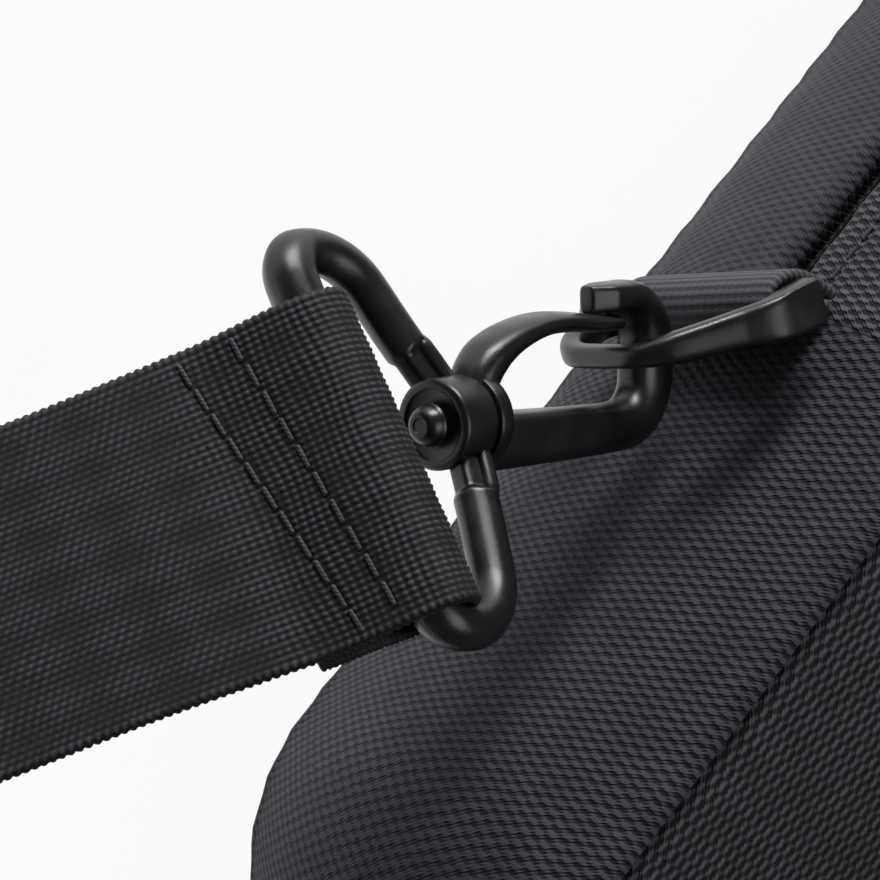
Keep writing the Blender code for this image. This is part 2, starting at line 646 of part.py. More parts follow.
def gate(name, axis):
    """The springy arm that closes the hook; it bends at its root by the flange."""
    root = GATE_ROOT
    rises = [(0.0, 0.0), (1.0, 2.3), (2.6, 4.1), (5.2, 5.4), (9.0, 6.0), (14.0, 5.8), (18.5, 5.3)]
    path = [(x * MM, y * MM) for x, y in rises]
    path += [(GATE_END - root[0], TIP_HIGH - TIP_HALF - CLEAR - GATE_TIP_HALF - root[1])]
    half = list(np.linspace(GATE_ROOT_HALF, GATE_TIP_HALF, len(path)))
    turn = empty(f"{name}_flex", Matrix.Translation((*root, 0)), axis)
    arm = sweep([(x, y, 0) for x, y in path], (0, 0, 1), half, [GATE_HALF_WIDE] * len(path), corner=3)
    body = add(name, *arm, ACETAL, turn)
    heel_wide = GATE_HALF_WIDE - 0.4 * MM
    heel = prism(rounded(GATE_ROOT_HALF, GATE_ROOT_HALF, 0.99 * GATE_ROOT_HALF, 4), -heel_wide, heel_wide)
    combine(body, add(name + "_heel", *heel, None, turn), "UNION")
    return body


def swivel_pin(name, axis):
    """The headed pin that holds the hook in the ring's boss."""
    head = PIN_HEAD_HIGH
    dome = [math.pi / 2 * k / 4 for k in range(4, 0, -1)]
    profile = [(-CLEAR - head * math.sin(t), max(PIN_HEAD_R * math.cos(t), 0.25 * MM)) for t in dome]
    profile += [(-CLEAR, PIN_HEAD_R), (-CLEAR, PIN_R)]
    profile += [(BOSS_LONG + CLEAR + FLANGE_LONG - 2 * CLEAR, PIN_R)]
    return add(name, *turned(profile), ACETAL, axis)


def swivel(suffix, boss, axis, up, ring_dir, ring_parent=None):
    """One end's swivel hook: ring, pin, hook and gate."""
    ring_axis = empty(f"ring_{suffix}_axis", frame(boss, ring_dir, -axis), ring_parent)
    swivel_ring(f"hook_ring_{suffix}", ring_axis)
    hook_axis = empty(f"hook_{suffix}_swivel", frame(boss, axis, up))
    swivel_pin(f"swivel_pin_{suffix}", hook_axis)
    hook(f"hook_{suffix}", hook_axis)
    gate(f"gate_{suffix}", hook_axis)


# ---------------------------------------------------------------- strap


def strap_plan():
    """The strap's route in plan, as straights and left turns from the clipped ring's bar."""
    start = BOSS_A - SWIVEL_AXIS * RING_BACK + RING_TURN * STRAP_OFF_CENTRE
    heading = math.atan2(STRAP_AWAY.y, STRAP_AWAY.x)
    level = math.hypot(STRAP_AWAY.x, STRAP_AWAY.y)
    lead = LEAD_STRAIGHT * level
    x = start.x + lead * math.cos(heading)
    run = x - TURN_R * math.sin(heading) - STRAP_CORNER_B
    legs = [("line", lead), ("turn", math.pi - heading), ("line", run), ("turn", math.pi / 2),
            ("line", LAST_STRAIGHT)]
    return start, heading, legs


def strap_point(distance):
    """The place and heading in plan at a distance along the route."""
    start, heading, legs = strap_plan()
    x, y = start.x, start.y
    for kind, size in legs:
        length = size if kind == "line" else size * TURN_R
        step = min(distance, length)
        if kind == "line":
            x, y = x + step * math.cos(heading), y + step * math.sin(heading)
        else:
            turn = step / TURN_R
            x += TURN_R * (math.sin(heading + turn) - math.sin(heading))
            y -= TURN_R * (math.cos(heading + turn) - math.cos(heading))
            heading += turn
        distance -= step
        if distance <= 0:
            break
    return x, y, heading


def strap_length():
    """The route's length in plan."""
    return sum(size if kind == "line" else size * TURN_R for kind, size in strap_plan()[2])


def glide_height():
    """The height of the strap's middle where the tri-glide holds it off the floor."""
    return STRAP_WIDE / 2 + 0.5 * MM + GLIDE_RIM + CLEAR


def strap_height(distance):
    """The height of the strap's middle: down from the ring, over the tri-glide, up to ring b."""
    start, _, legs = strap_plan()
    lead = legs[0][1]
    slope = STRAP_AWAY.z / math.hypot(STRAP_AWAY.x, STRAP_AWAY.y)
    if distance <= lead:
        return start.z + slope * distance
    total = strap_length()
    glide_at = lead + legs[1][1] * TURN_R + (legs[2][1] + STRAP_CORNER_B) - GLIDE_X
    first_low = glide_at - GLIDE_BEFORE - CLIMB
    marks = [(lead, start.z + slope * lead), (first_low - FLOOR_RUN, STRAP_LOW), (first_low, STRAP_LOW),
             (glide_at - GLIDE_BEFORE, glide_height()), (glide_at + GLIDE_AFTER, glide_height()),
             (glide_at + GLIDE_AFTER + CLIMB, STRAP_LOW), (total - LAST_LEVEL - LAST_CLIMB, STRAP_LOW),
             (total - LAST_LEVEL, HOOK_B_HEIGHT), (total, HOOK_B_HEIGHT)]
    for (d0, z0), (d1, z1) in zip(marks, marks[1:]):
        if distance <= d1:
            t = (distance - d0) / (d1 - d0)
            first = slope * (d1 - d0) if d0 == lead else 0.0
            bow = (t - 2 * t * t + t * t * t) * first
            return z0 + bow + (z1 - z0) * smoothstep(t)
    return HOOK_B_HEIGHT


def strap_frame(distance):
    """The route's point, direction and width direction at a distance."""
    x, y, heading = strap_point(distance)
    here = Vector((x, y, strap_height(distance)))
    step = 0.5 * MM
    ahead = Vector((math.cos(heading), math.sin(heading), (strap_height(distance + step) - here.z) / step))
    ahead.normalize()
    lead = strap_plan()[2][0][1]
    level = Vector((0, 0, 1)) - ahead * ahead.z
    level.normalize()
    first = RING_TURN - ahead * RING_TURN.dot(ahead)
    first.normalize()
    twist = smoothstep((distance - lead * 0.8) / (130 * MM))
    wide = first * (1 - twist) + level * twist
    wide.normalize()
    return here, ahead, wide


def shoulder_strap():
    """One length of webbing: sewn round ring a, out along the floor, round ring b and back."""
    total = strap_length()
    turn_r = RING_ROD + 0.5 * MM + STRAP_THICK / 2
    layer = (STRAP_THICK + LAYER_GAP) / 2

    def off(distance):
        near = min(distance, total - distance)
        return turn_r + (layer - turn_r) * smoothstep(near / FOLD_CLOSE)

    def station(distance, side):
        here, ahead, wide = strap_frame(distance)
        across = wide.cross(ahead)
        return here + across * (side * off(distance)), wide

    def bar_turn(distance, first, outward):
        here, ahead, wide = strap_frame(distance)
        across = wide.cross(ahead)
        found = []
        for turn in np.linspace(0, math.pi, 9)[1:-1]:
            found.append((here + across * (first * turn_r * math.cos(turn))
                          + ahead * (outward * turn_r * math.sin(turn)), wide))
        return found

    def stations(low, high):
        marks = np.arange(0, total + 5 * MM, 5 * MM)
        marks = [d for d in marks if low < d < high]
        bends = strap_plan()[2]
        first_end = bends[0][1] + bends[1][1] * TURN_R
        second = first_end + bends[2][1]
        kept = []
        for d in marks:
            near_bar = min(d, total - d) < 20 * MM
            in_turn = bends[0][1] - 20 * MM < d < first_end + 40 * MM or second - 10 * MM < d
            if near_bar or in_turn or round(d / (5 * MM)) % 4 == 0:
                kept.append(d)
        return [low] + kept + [high]

    lead, first_turn, run = strap_plan()[2][:3]
    tail = lead[1] + first_turn[1] * TURN_R + run[1] + STRAP_CORNER_B - TAIL_END
    path = [station(d, 1) for d in reversed(stations(0, SEWN_FOLD))]
    path += bar_turn(0, 1, -1)
    path += [station(d, -1) for d in stations(0, total)]
    path += bar_turn(total, -1, 1)
    path += [station(d, 1) for d in reversed(stations(tail, total))]
    points = np.array([p for p, _ in path])
    wides = np.array([w for _, w in path])
    count = len(points)
    band = sweep(points, wides, [STRAP_THICK / 2] * count, [STRAP_WIDE / 2] * count, corner=1)
    add("strap_webbing", *band, WEBBING)
    return total


def tri_glide():
    """The strap adjuster: two outer bars on the bag side of the webbing, one bar on the other."""
    strap_y = strap_point(strap_plan()[2][0][1] + strap_plan()[2][1][1] * TURN_R + 50 * MM)[1]
    centre = Vector((GLIDE_X, strap_y, glide_height()))
    slide = empty("adjuster_slide", Matrix.Translation(centre))
    half_long = GLIDE_LONG / 2
    room = STRAP_WIDE / 2 + 0.5 * MM
    deep = STRAP_THICK + LAYER_GAP / 2 + CLEAR
    outer = rounded(half_long, room + GLIDE_RIM, 4 * MM, 3)
    upright = Matrix.Rotation(math.pi / 2, 4, "X")
    body = add("tri_glide", *prism(outer, -deep - GLIDE_SKIN, deep + GLIDE_SKIN), ACETAL, slide, upright)
    far = GLIDE_LONG
    cuts = [("channel", (-far, -deep, -room), (far, deep, room)),
            ("window", (-half_long + GLIDE_BAR, -far, -room), (half_long - GLIDE_BAR, 0, room)),
            ("slot_1", (-far, 0, -room), (-GLIDE_BAR / 2, far, room)),
            ("slot_2", (GLIDE_BAR / 2, 0, -room), (far, far, room))]
    for name, low, high in cuts:
        combine(body, add("glide_" + name, *box(low, high), None, slide), "DIFFERENCE")


# ---------------------------------------------------------------- the whole part


def clipped_end():
    """Tab a, D-ring a and the hook that holds it."""
    hook_place = frame(BOSS_A, SWIVEL_AXIS, HOOK_UP)
    bow = hook_place @ BOW_IN_HOOK
    reach = bow - D_A_CENTRE
    reach -= D_A_BAR * reach.dot(D_A_BAR)
    side = D_A_BAR.cross(reach)
    place = frame(D_A_CENTRE, reach, side)
    d_ring("d_ring_a", place)
    root = Vector((LENGTH / 2 + BULGE + CLEAR, TAB_ROOT_Y, 0))
    root.z = D_A_CENTRE.z + (D_A_CENTRE.y - root.y) * D_A_BAR.y / D_A_BAR.z
    tab("tab_a", place, root, Vector((4.5 * MM, 0.6 * MM, 0)))
    swivel("a", BOSS_A, SWIVEL_AXIS, HOOK_UP, RING_TURN)


def free_end():
    """Tab b with its D-ring, and the unclipped swivel hook at the strap's far end."""
    centre = Vector((-D_A_CENTRE.x - MM, TAB_ROOT_Y, D_A_CENTRE.z))
    place = frame(centre, (-1, 0, 0), (0, -1, 0))
    d_ring("d_ring_b", place)
    tab("tab_b", place, Vector((-LENGTH / 2 - BULGE - CLEAR, centre.y, centre.z)), Vector((-4.5 * MM, 0, 0)))
    x, y, _ = strap_point(strap_length())
    boss = Vector((x, y - RING_BACK, HOOK_B_HEIGHT))
    swivel("b", boss, Vector((0, -1, 0)), Vector((0, 0, -1)), Vector((0, 0, 1)))


def main():
    for old in list(bpy.data.objects):
        bpy.data.objects.remove(old, do_unlink=True)
    hinge = shells()
    zips(hinge)
    front_pocket(hinge)
    stick_sleeves()
    grab_handle()
    clipped_end()
    free_end()
    shoulder_strap()
    tri_glide()


main()
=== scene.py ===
"""Looks of a padded drum stick bag with a clip-on webbing shoulder strap.

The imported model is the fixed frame.  Soft goods are rebuilt here as sewn panels, webbing and
thread, the moulded swivel hooks as smooth surfaces, and every piece gets a procedural finish.
Lengths are metres unless a name ends in _mm or a class says that its sizes are millimetres;
MM turns millimetres into metres.  UV maps are in millimetres on the cloth.
"""

from __future__ import annotations

import json
import logging
import math
from dataclasses import dataclass, field
from enum import Enum
from typing import Any, Callable, Sequence

import bmesh
import bpy
import numpy as np
from mathutils import Matrix, Vector

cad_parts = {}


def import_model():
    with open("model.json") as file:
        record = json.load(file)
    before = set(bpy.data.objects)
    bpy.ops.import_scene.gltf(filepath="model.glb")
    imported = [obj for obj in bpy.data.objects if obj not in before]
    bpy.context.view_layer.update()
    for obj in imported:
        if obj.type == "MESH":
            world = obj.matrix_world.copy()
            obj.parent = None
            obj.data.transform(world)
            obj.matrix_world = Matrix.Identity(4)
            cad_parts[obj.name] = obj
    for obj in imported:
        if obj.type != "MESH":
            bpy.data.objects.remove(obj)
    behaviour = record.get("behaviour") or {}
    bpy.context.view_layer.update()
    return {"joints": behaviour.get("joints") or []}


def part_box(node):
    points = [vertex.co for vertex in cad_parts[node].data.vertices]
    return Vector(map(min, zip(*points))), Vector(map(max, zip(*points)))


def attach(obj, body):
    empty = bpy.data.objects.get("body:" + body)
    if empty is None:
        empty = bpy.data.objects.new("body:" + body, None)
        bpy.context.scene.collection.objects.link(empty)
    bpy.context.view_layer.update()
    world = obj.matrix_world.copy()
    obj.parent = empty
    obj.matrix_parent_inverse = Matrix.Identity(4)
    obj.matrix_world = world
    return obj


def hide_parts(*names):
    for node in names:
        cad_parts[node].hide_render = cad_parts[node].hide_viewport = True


log = logging.getLogger("stick_bag")
MM = 0.001
Array = np.ndarray
Material = bpy.types.Material
Object = bpy.types.Object
Socket = bpy.types.NodeSocket
Node = bpy.types.Node
X_WAY, Y_WAY, Z_WAY = np.eye(3)
PADDING = 0.6  # how full the padded cloth is, from slack to tight
PUCKER_MM = 7.3  # from one pucker to the next along a seam
COIL_PITCH = 1.5 * MM  # a zip's coil: one turn's length, its swing up and down, and the thread's radius
COIL_RISE = 0.27 * MM
COIL_WIRE = 0.24 * MM


# ---------------------------------------------------------------- small mathematics


def smoothstep(t: Array | float) -> Array:
    """0 below 0, 1 above 1, with a smooth cubic rise 3t^2 - 2t^3 between."""
    t = np.clip(t, 0.0, 1.0)
    return t * t * (3 - 2 * t)


def unit(v: Array) -> Array:
    """Vectors along the last axis, scaled to length 1."""
    return v / np.linalg.norm(v, axis=-1, keepdims=True)


def arc_length(path: Array) -> Array:
    """Distance along a polyline at each of its points, starting from 0."""
    steps = np.linalg.norm(np.diff(path, axis=0), axis=1)
    return np.concatenate([[0.0], np.cumsum(steps)])


def columns_at(want: Array, at: Array, values: Array) -> Array:
    """The (m, k) values known at increasing places, each column read off linearly where wanted."""
    return np.stack([np.interp(want, at, column) for column in values.T], -1)


def resample(path: Array, count: int) -> Array:
    """Evenly spaced points on a smooth curve through an (m, k) path.

    The curve is a cubic Hermite spline whose slopes are central differences over arc length.
    """
    at = arc_length(path)
    want = np.linspace(0, at[-1], count)
    slope = np.gradient(path, at, axis=0)
    k = np.clip(np.searchsorted(at, want, side="right") - 1, 0, len(at) - 2)
    span = (at[k + 1] - at[k])[:, None]
    t = ((want - at[k])[:, None]) / span
    t2, t3 = t * t, t * t * t
    return ((2 * t3 - 3 * t2 + 1) * path[k] + (t3 - 2 * t2 + t) * span * slope[k]
            + (3 * t2 - 2 * t3) * path[k + 1] + (t3 - t2) * span * slope[k + 1])


def raised(points: Array, height: float | Array = 0.0) -> Array:
    """Points of a plane, (m, 2), in space at a height."""
    return np.column_stack([points, np.broadcast_to(height, len(points))])


def superellipse(count: int, power: float) -> Array:
    """Points (cos^(2/p), sin^(2/p)) of a rounded square of half size 1, counter-clockwise."""
    t = np.linspace(0, 2 * np.pi, count, endpoint=False) + np.pi / count
    c, s = np.cos(t), np.sin(t)
    return np.stack([np.sign(c) * np.abs(c) ** (2 / power), np.sign(s) * np.abs(s) ** (2 / power)], -1)


def half_turn(count: int) -> Array:
    """Angles between 0 and pi, without both ends."""
    return np.linspace(0, np.pi, count + 2)[1:-1]


def arc(centre: tuple[float, float], radius: float, start: float, end: float, count: int) -> Array:
    """Points of a circular arc in a plane, angles in degrees."""
    t = np.radians(np.linspace(start, end, count))
    return np.stack([centre[0] + radius * np.cos(t), centre[1] + radius * np.sin(t)], -1)


def placed(points: Array, place: Array) -> Array:
    """Points of any leading shape moved by a 4 x 4 matrix."""
    return points @ place[:3, :3].T + place[:3, 3]


def frame_matrix(origin: Sequence[float], x: Array, y: Array) -> Array:
    """A 4 x 4 matrix from an origin, an X direction and a direction near Y."""
    x = unit(np.asarray(x, float))
    z = unit(np.cross(x, y))
    place = np.eye(4)
    place[:3, 0], place[:3, 1], place[:3, 2], place[:3, 3] = x, np.cross(z, x), z, origin
    return place


# ---------------------------------------------------------------- meshes


@dataclass
class Surface:
    """Collects grids of quads into one mesh with a UV map and material slots."""

    verts: list[Array] = field(default_factory=list)
    faces: list[Array] = field(default_factory=list)
    uvs: list[Array] = field(default_factory=list)
    slots: list[Array] = field(default_factory=list)
    caps: list[tuple[Array, int]] = field(default_factory=list)
    count: int = 0

    def grid(self, points: Array, uv: Array | None = None, wrap_u: bool = False, cap: bool = False,
             slot: int | Array = 0) -> "Surface":
        """Adds a grid of points as quads that close round its columns.

        Args:
            points: (m, n, 3) positions; m runs along the piece, n round its section.
            uv: (m + wrap_u, n + 1, 2) map, or None for zeros.
            wrap_u: joins the last row to the first.
            cap: closes the first and last row with a face each.
            slot: the material slot, or one for each column.
        """
        m, n, _ = points.shape
        i, j = np.meshgrid(np.arange(m - (not wrap_u)), np.arange(n), indexing="ij")
        i2, j2 = (i + 1) % m, (j + 1) % n
        quad = np.stack([i * n + j, i2 * n + j, i2 * n + j2, i * n + j2], -1).reshape(-1, 4)
        if uv is None:
            uv = np.zeros((m + wrap_u, n + 1, 2))
        loops = np.stack([uv[i, j], uv[i + 1, j], uv[i + 1, j + 1], uv[i, j + 1]], 2).reshape(-1, 2)
        self.verts.append(points.reshape(-1, 3))
        self.faces.append(quad + self.count)
        self.uvs.append(loops)
        column = np.broadcast_to(slot, (n,))
        self.slots.append(column[j].ravel())
        if cap:
            self.caps.append((np.arange(n) + self.count, int(column[0])))
            self.caps.append((np.arange(n)[::-1] + self.count + (m - 1) * n, int(column[0])))
        self.count += m * n
        return self

    def tube(self, made: tuple[Array, Array | None], place: Array | None = None,
             slot: int | Array = 0) -> "Surface":
        """Adds a tube with both ends capped: its points and UV map, moved by a matrix if there is one."""
        points, uv = made
        return self.grid(points if place is None else placed(points, place), uv, cap=True, slot=slot)

    def build(self, name: str, finishes: Sequence[Material], sharp_deg: float) -> Object:
        """The collected grids as one object at the origin, facing outwards."""
        mesh = bpy.data.meshes.new(name)
        faces = np.concatenate(self.faces).tolist() + [c.tolist() for c, _ in self.caps]
        mesh.from_pydata(np.concatenate(self.verts).tolist(), [], faces)
        uv = np.zeros((len(mesh.loops), 2))
        flat = np.concatenate(self.uvs)
        uv[:len(flat)] = flat
        mesh.uv_layers.new(name="UVMap").data.foreach_set("uv", uv.ravel())
        slots = np.concatenate([*self.slots, np.array([s for _, s in self.caps], int)]).astype(np.int32)
        mesh.polygons.foreach_set("material_index", slots)
        for finish in finishes:
            mesh.materials.append(finish)
        mesh.shade_smooth()
        mesh.set_sharp_from_angle(angle=math.radians(sharp_deg))
        mesh.update()
        solid = bmesh.new()
        solid.from_mesh(mesh)
        bmesh.ops.recalc_face_normals(solid, faces=solid.faces)
        solid.to_mesh(mesh)
        solid.free()
        obj = bpy.data.objects.new(name, mesh)
        bpy.context.scene.collection.objects.link(obj)
        return obj

    def piece(self, name: str, finishes: Sequence[Material], node: str, slot: str, body: str,
              sharp_deg: float = 40.0, fill: float | None = None) -> Object:
        """The collected grids as one piece of the model.

        Args:
            name: the piece's name.
            finishes: its materials, by slot.
            node: the CAD node that it stands for.
            slot: not used.
            body: the body that it rides on.
            sharp_deg: edges that turn by more are drawn sharp.
            fill: not used.

        Returns:
            The new object.
        """
        obj = self.build(name, finishes, sharp_deg)
        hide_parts(node)
        log.info("%s stands for %s and rides on %s", name, node, body)
        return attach(obj, body)


def uv_map(along: Array, across: Array) -> Array:
    """A UV map from the distances along a piece, (m,), and across or round it, (n,) or (m, n)."""
    return np.stack(np.broadcast_arrays(along[:, None], across), -1)


def sweep(path: Array, side: Array, wide: Array, section: Array) -> tuple[Array, Array]:
    """A section carried along a path.

    Each point is path + side * a + wide * b, for (a, b) of the section at that station.

    Args:
        path: (m, 3) stations.
        side: (3,) or (m, 3) unit vectors across the path.
        wide: (3,) or (m, 3) unit vectors of the section's second axis.
        section: (n, 2) or (m, n, 2) offsets in metres.

    Returns:
        (m, n, 3) points and an (m, n + 1, 2) UV map in millimetres, along and round.
    """
    side, wide = np.broadcast_to(side, path.shape), np.broadcast_to(wide, path.shape)
    section = np.broadcast_to(section, (len(path), *section.shape[-2:]))
    points = path[:, None] + side[:, None] * section[..., :1] + wide[:, None] * section[..., 1:]
    ring = np.concatenate([section, section[:, :1]], 1)
    steps = np.cumsum(np.linalg.norm(np.diff(ring, axis=1), axis=2), 1)
    round_mm = np.concatenate([np.zeros((len(path), 1)), steps], 1) / MM
    return points, uv_map(arc_length(path) / MM, round_mm)


def planar_bar(path: Array, half_thick: Array, half_wide: Array, power: Array | float,
               count: int) -> tuple[Array, Array]:
    """A moulded bar whose centreline lies in a plane: superellipse sections square to the path.

    Args:
        path: (m, 2) centreline.
        half_thick: (m,) half size in the plane.
        half_wide: (m,) half size along Z.
        power: 2 is an ellipse, larger is squarer; one value or one per station.
        count: points round the section.

    Returns:
        Points and UV map as sweep gives them.
    """
    flat = raised(path)
    along = unit(np.gradient(flat, axis=0))
    side = np.cross(Z_WAY, along)
    sections = np.stack([superellipse(count, p) for p in np.broadcast_to(power, (len(path),))])
    return sweep(flat, side, Z_WAY, sections * np.stack([half_thick, half_wide], -1)[:, None])


def rounded_bar(path: Array, half: Array, count: int, start: float,
                end: float) -> tuple[Array, Array, Array]:
    """A smooth centreline with its half sizes, drawn in at the ends as if rounded over.

    Args:
        path: (m, 2) control points in metres.
        half: (m, 2) half sizes at them.
        count: stations along the bar.
        start: rounding radius at the first end, or 0.
        end: rounding radius at the last end, or 0.

    Returns:
        (n, 2) stations, (n,) half thickness and (n,) half width, as planar_bar takes them.
    """
    fine, known = resample(path, 600), arc_length(path)
    sizes = columns_at(np.linspace(0, known[-1], 600), known, half)
    at = arc_length(fine)
    turns = np.linspace(0, np.pi / 2, 7)
    marks = [np.linspace(start, at[-1] - end, count)]
    drawn = [np.zeros(count)]
    if start > 0:
        marks.insert(0, start - start * np.cos(turns[:-1]))
        drawn.insert(0, start - start * np.sin(turns[:-1]))
    if end > 0:
        marks.append(at[-1] - end + end * np.sin(turns[1:]))
        drawn.append(end - end * np.cos(turns[1:]))
    where, less = np.concatenate(marks), np.concatenate(drawn)
    widths = np.maximum(columns_at(where, at, sizes) - less[:, None], 0.02 * MM)
    return columns_at(where, at, fine), widths[:, 0], widths[:, 1]


def turned(profile: Array, count: int = 48) -> Array:
    """A solid of revolution about X: (x, radius) pairs become rings of points."""
    t = np.linspace(0, 2 * np.pi, count, endpoint=False)
    x = np.broadcast_to(profile[:, :1], (len(profile), count))
    return np.stack([x, profile[:, 1:] * np.cos(t), profile[:, 1:] * np.sin(t)], -1)


def rolled_sheet(y_low: float, y_high: float, half_at: Callable[[Array], Array], roll: float,
                 counts: tuple[int, int, int]) -> tuple[Array, Array, Array]:
    """The plan of a sheet whose edges roll over, with its rows closer together towards them.

    Args:
        y_low: the first edge.
        y_high: the last edge.
        half_at: half the sheet's length along X at each Y.
        roll: how wide the rolled edge is.
        counts: points in an edge, and along X and Y between the edges.

    Returns:
        X and Y of a grid and the distance of its points from the nearest edge.
    """
    edge = roll * (1 - np.cos(np.linspace(0, np.pi / 2, counts[0])))
    y_core = np.linspace(y_low + roll, y_high - roll, counts[2])[1:-1]
    y = np.concatenate([y_low + edge, y_core, (y_high - edge)[::-1]])
    half = half_at(y)[:, None]
    x_core = np.linspace(-1, 1, counts[1])[None, 1:-1] * (half - roll)
    x = np.concatenate([edge[None] - half, x_core, (half - edge[None])[:, ::-1]], 1)
    gap = np.minimum(half - np.abs(x), np.minimum(y - y_low, y_high - y)[:, None])
    return x, np.broadcast_to(y[:, None], x.shape), gap


def rolled_over(gap: Array, roll: float) -> Array:
    """Share of the full thickness at a distance from the edge: sqrt(1 - 0.985 (1 - gap / roll)^2)."""
    return np.sqrt(1 - 0.985 * np.clip(1 - gap / roll, 0, 1) ** 2)


def two_faces(x: Array, y: Array, face: Array, back: Array) -> tuple[Array, Array]:
    """A sheet's two faces as one grid that wraps round its columns, with a UV map in millimetres."""
    points = np.concatenate([np.stack([x, y, face], -1), np.stack([x, y, back], -1)[:, ::-1]], 1)
    return points, np.concatenate([points[..., :2], points[:, :1, :2]], 1) / MM


def pillow(half_x: float, half_y: float, corner: float, low: float, high: float, roll: float,
           nx: int = 40, ny: int = 24) -> tuple[Array, Array]:
    """A rounded rectangular block in its own frame, between the heights low and high, edges rolled over."""

    def half_at(y: Array) -> Array:
        past = np.clip(np.abs(y) - (half_y - corner), 0, corner * 0.999)
        return half_x - (corner - np.sqrt(corner ** 2 - past ** 2))

    x, y, gap = rolled_sheet(-half_y, half_y, half_at, roll, (6, nx, ny))
    middle, rise = (low + high) / 2, (high - low) / 2 * rolled_over(gap, roll)
    return two_faces(x, y, middle + rise, middle - rise)


# ---------------------------------------------------------------- finishes


def linear(code: str) -> tuple[float, float, float, float]:
    """An sRGB hex colour as linear RGBA."""
    values = np.array([int(code[k:k + 2], 16) for k in (1, 3, 5)]) / 255
    low, high = values / 12.92, ((values + 0.055) / 1.055) ** 2.4
    return (*np.where(values <= 0.04045, low, high).tolist(), 1.0)


class Look:
    """A material in the making, with the sums that its colour and its relief are worked out by."""

    def __init__(self, name: str) -> None:
        """Starts a material with its Principled shader."""
        self.material = bpy.data.materials.new(name)
        self.material.use_nodes = True
        self.tree = self.material.node_tree
        self.shader = self.tree.nodes["Principled BSDF"]

    def add(self, kind: str, inputs: dict[Any, Any] | None = None, **settings: Any) -> Node:
        """Adds a shader node.

        Args:
            kind: the node's type after the word ShaderNode, such as Math.
            inputs: input name or index to a value, or to another node's output socket.
            settings: the node's own properties.

        Returns:
            The new node.
        """
        made = self.tree.nodes.new("ShaderNode" + kind)
        for key, value in settings.items():
            setattr(made, key, value)
        self.feed(made, inputs or {})
        return made

    def feed(self, node: Node, inputs: dict[Any, Any]) -> None:
        """Sets a node's inputs, each from a value or from another node's output socket."""
        for key, value in inputs.items():
            if isinstance(value, Socket):
                self.tree.links.new(value, node.inputs[key])
            else:
                node.inputs[key].default_value = value

    def maths(self, operation: str, *values: Any) -> Socket:
        """A Math node's output, from values or sockets."""
        return self.add("Math", dict(enumerate(values)), operation=operation).outputs[0]

    def vector(self, operation: str, inputs: dict[Any, Any]) -> Socket:
        """A Vector Math node's output."""
        return self.add("VectorMath", inputs, operation=operation).outputs[0]

    def plus(self, value: Any, other: Any, share: float) -> Socket:
        """value + share * other."""
        return self.maths("ADD", value, self.maths("MULTIPLY", other, share))

    def wave(self, operation: str, value: Any, pitch: float) -> Socket:
        """The SINE or COSINE of 2 pi value / pitch."""
        return self.maths(operation, self.maths("MULTIPLY", value, 2 * math.pi / pitch))

    def lattice(self, u: Any, v: Any, pitch_u: float, pitch_v: float) -> Socket:
        """cos(2 pi u / pitch_u) * cos(2 pi v / pitch_v): staggered peaks at 1, with pits at -1 between."""
        return self.maths("MULTIPLY", self.wave("COSINE", u, pitch_u), self.wave("COSINE", v, pitch_v))

    def blended(self, factor: Any, low: Any, high: Any) -> Socket:
        """A colour between two colours or sockets."""
        return self.add("Mix", {0: factor, 6: low, 7: high}, data_type="RGBA").outputs[2]

    def ranged(self, value: Any, low: float, high: float, to_low: float = 0.0,
               to_high: float = 1.0) -> Socket:
        """A value mapped smoothly from one range to another."""
        inputs = {0: value, 1: low, 2: high, 3: to_low, 4: to_high}
        return self.add("MapRange", inputs, interpolation_type="SMOOTHSTEP").outputs[0]

    def noise(self, place: Socket, scale: float, detail: float, **more: float) -> Node:
        """A Noise Texture node."""
        return self.add("TexNoise", {"Vector": place, "Scale": scale, "Detail": detail, **more})

    def cloth(self) -> Socket:
        """The piece's UV map in millimetres."""
        return self.add("UVMap", uv_map="UVMap").outputs[0]

    def axes(self, place: Socket) -> tuple[Socket, Socket]:
        """The two axes of a UV map, along the piece and across it."""
        split = self.add("SeparateXYZ", {0: place})
        return split.outputs[0], split.outputs[1]

    def yarn(self, code: str, uv: Socket, scale: float, detail: float, low: float, high: float) -> Socket:
        """A yarn's colour, in patches that are between low and high times as bright."""
        patch = self.noise(uv, scale, detail)
        tone = self.ranged(patch.outputs[0], 0.3, 0.7, low, high)
        return self.vector("SCALE", {0: linear(code)[:3], "Scale": tone})

    def finished(self, colour: Socket, height: Socket, relief_mm: float, strength: float,
                 more: dict[str, Any]) -> Material:
        """Gives the shader its colour, its relief and what else it is given."""
        bump = self.add("Bump", {"Height": height, "Distance": relief_mm * MM, "Strength": strength})
        self.feed(self.shader, {"Base Color": colour, "Normal": bump.outputs[0], **more})
        return self.material


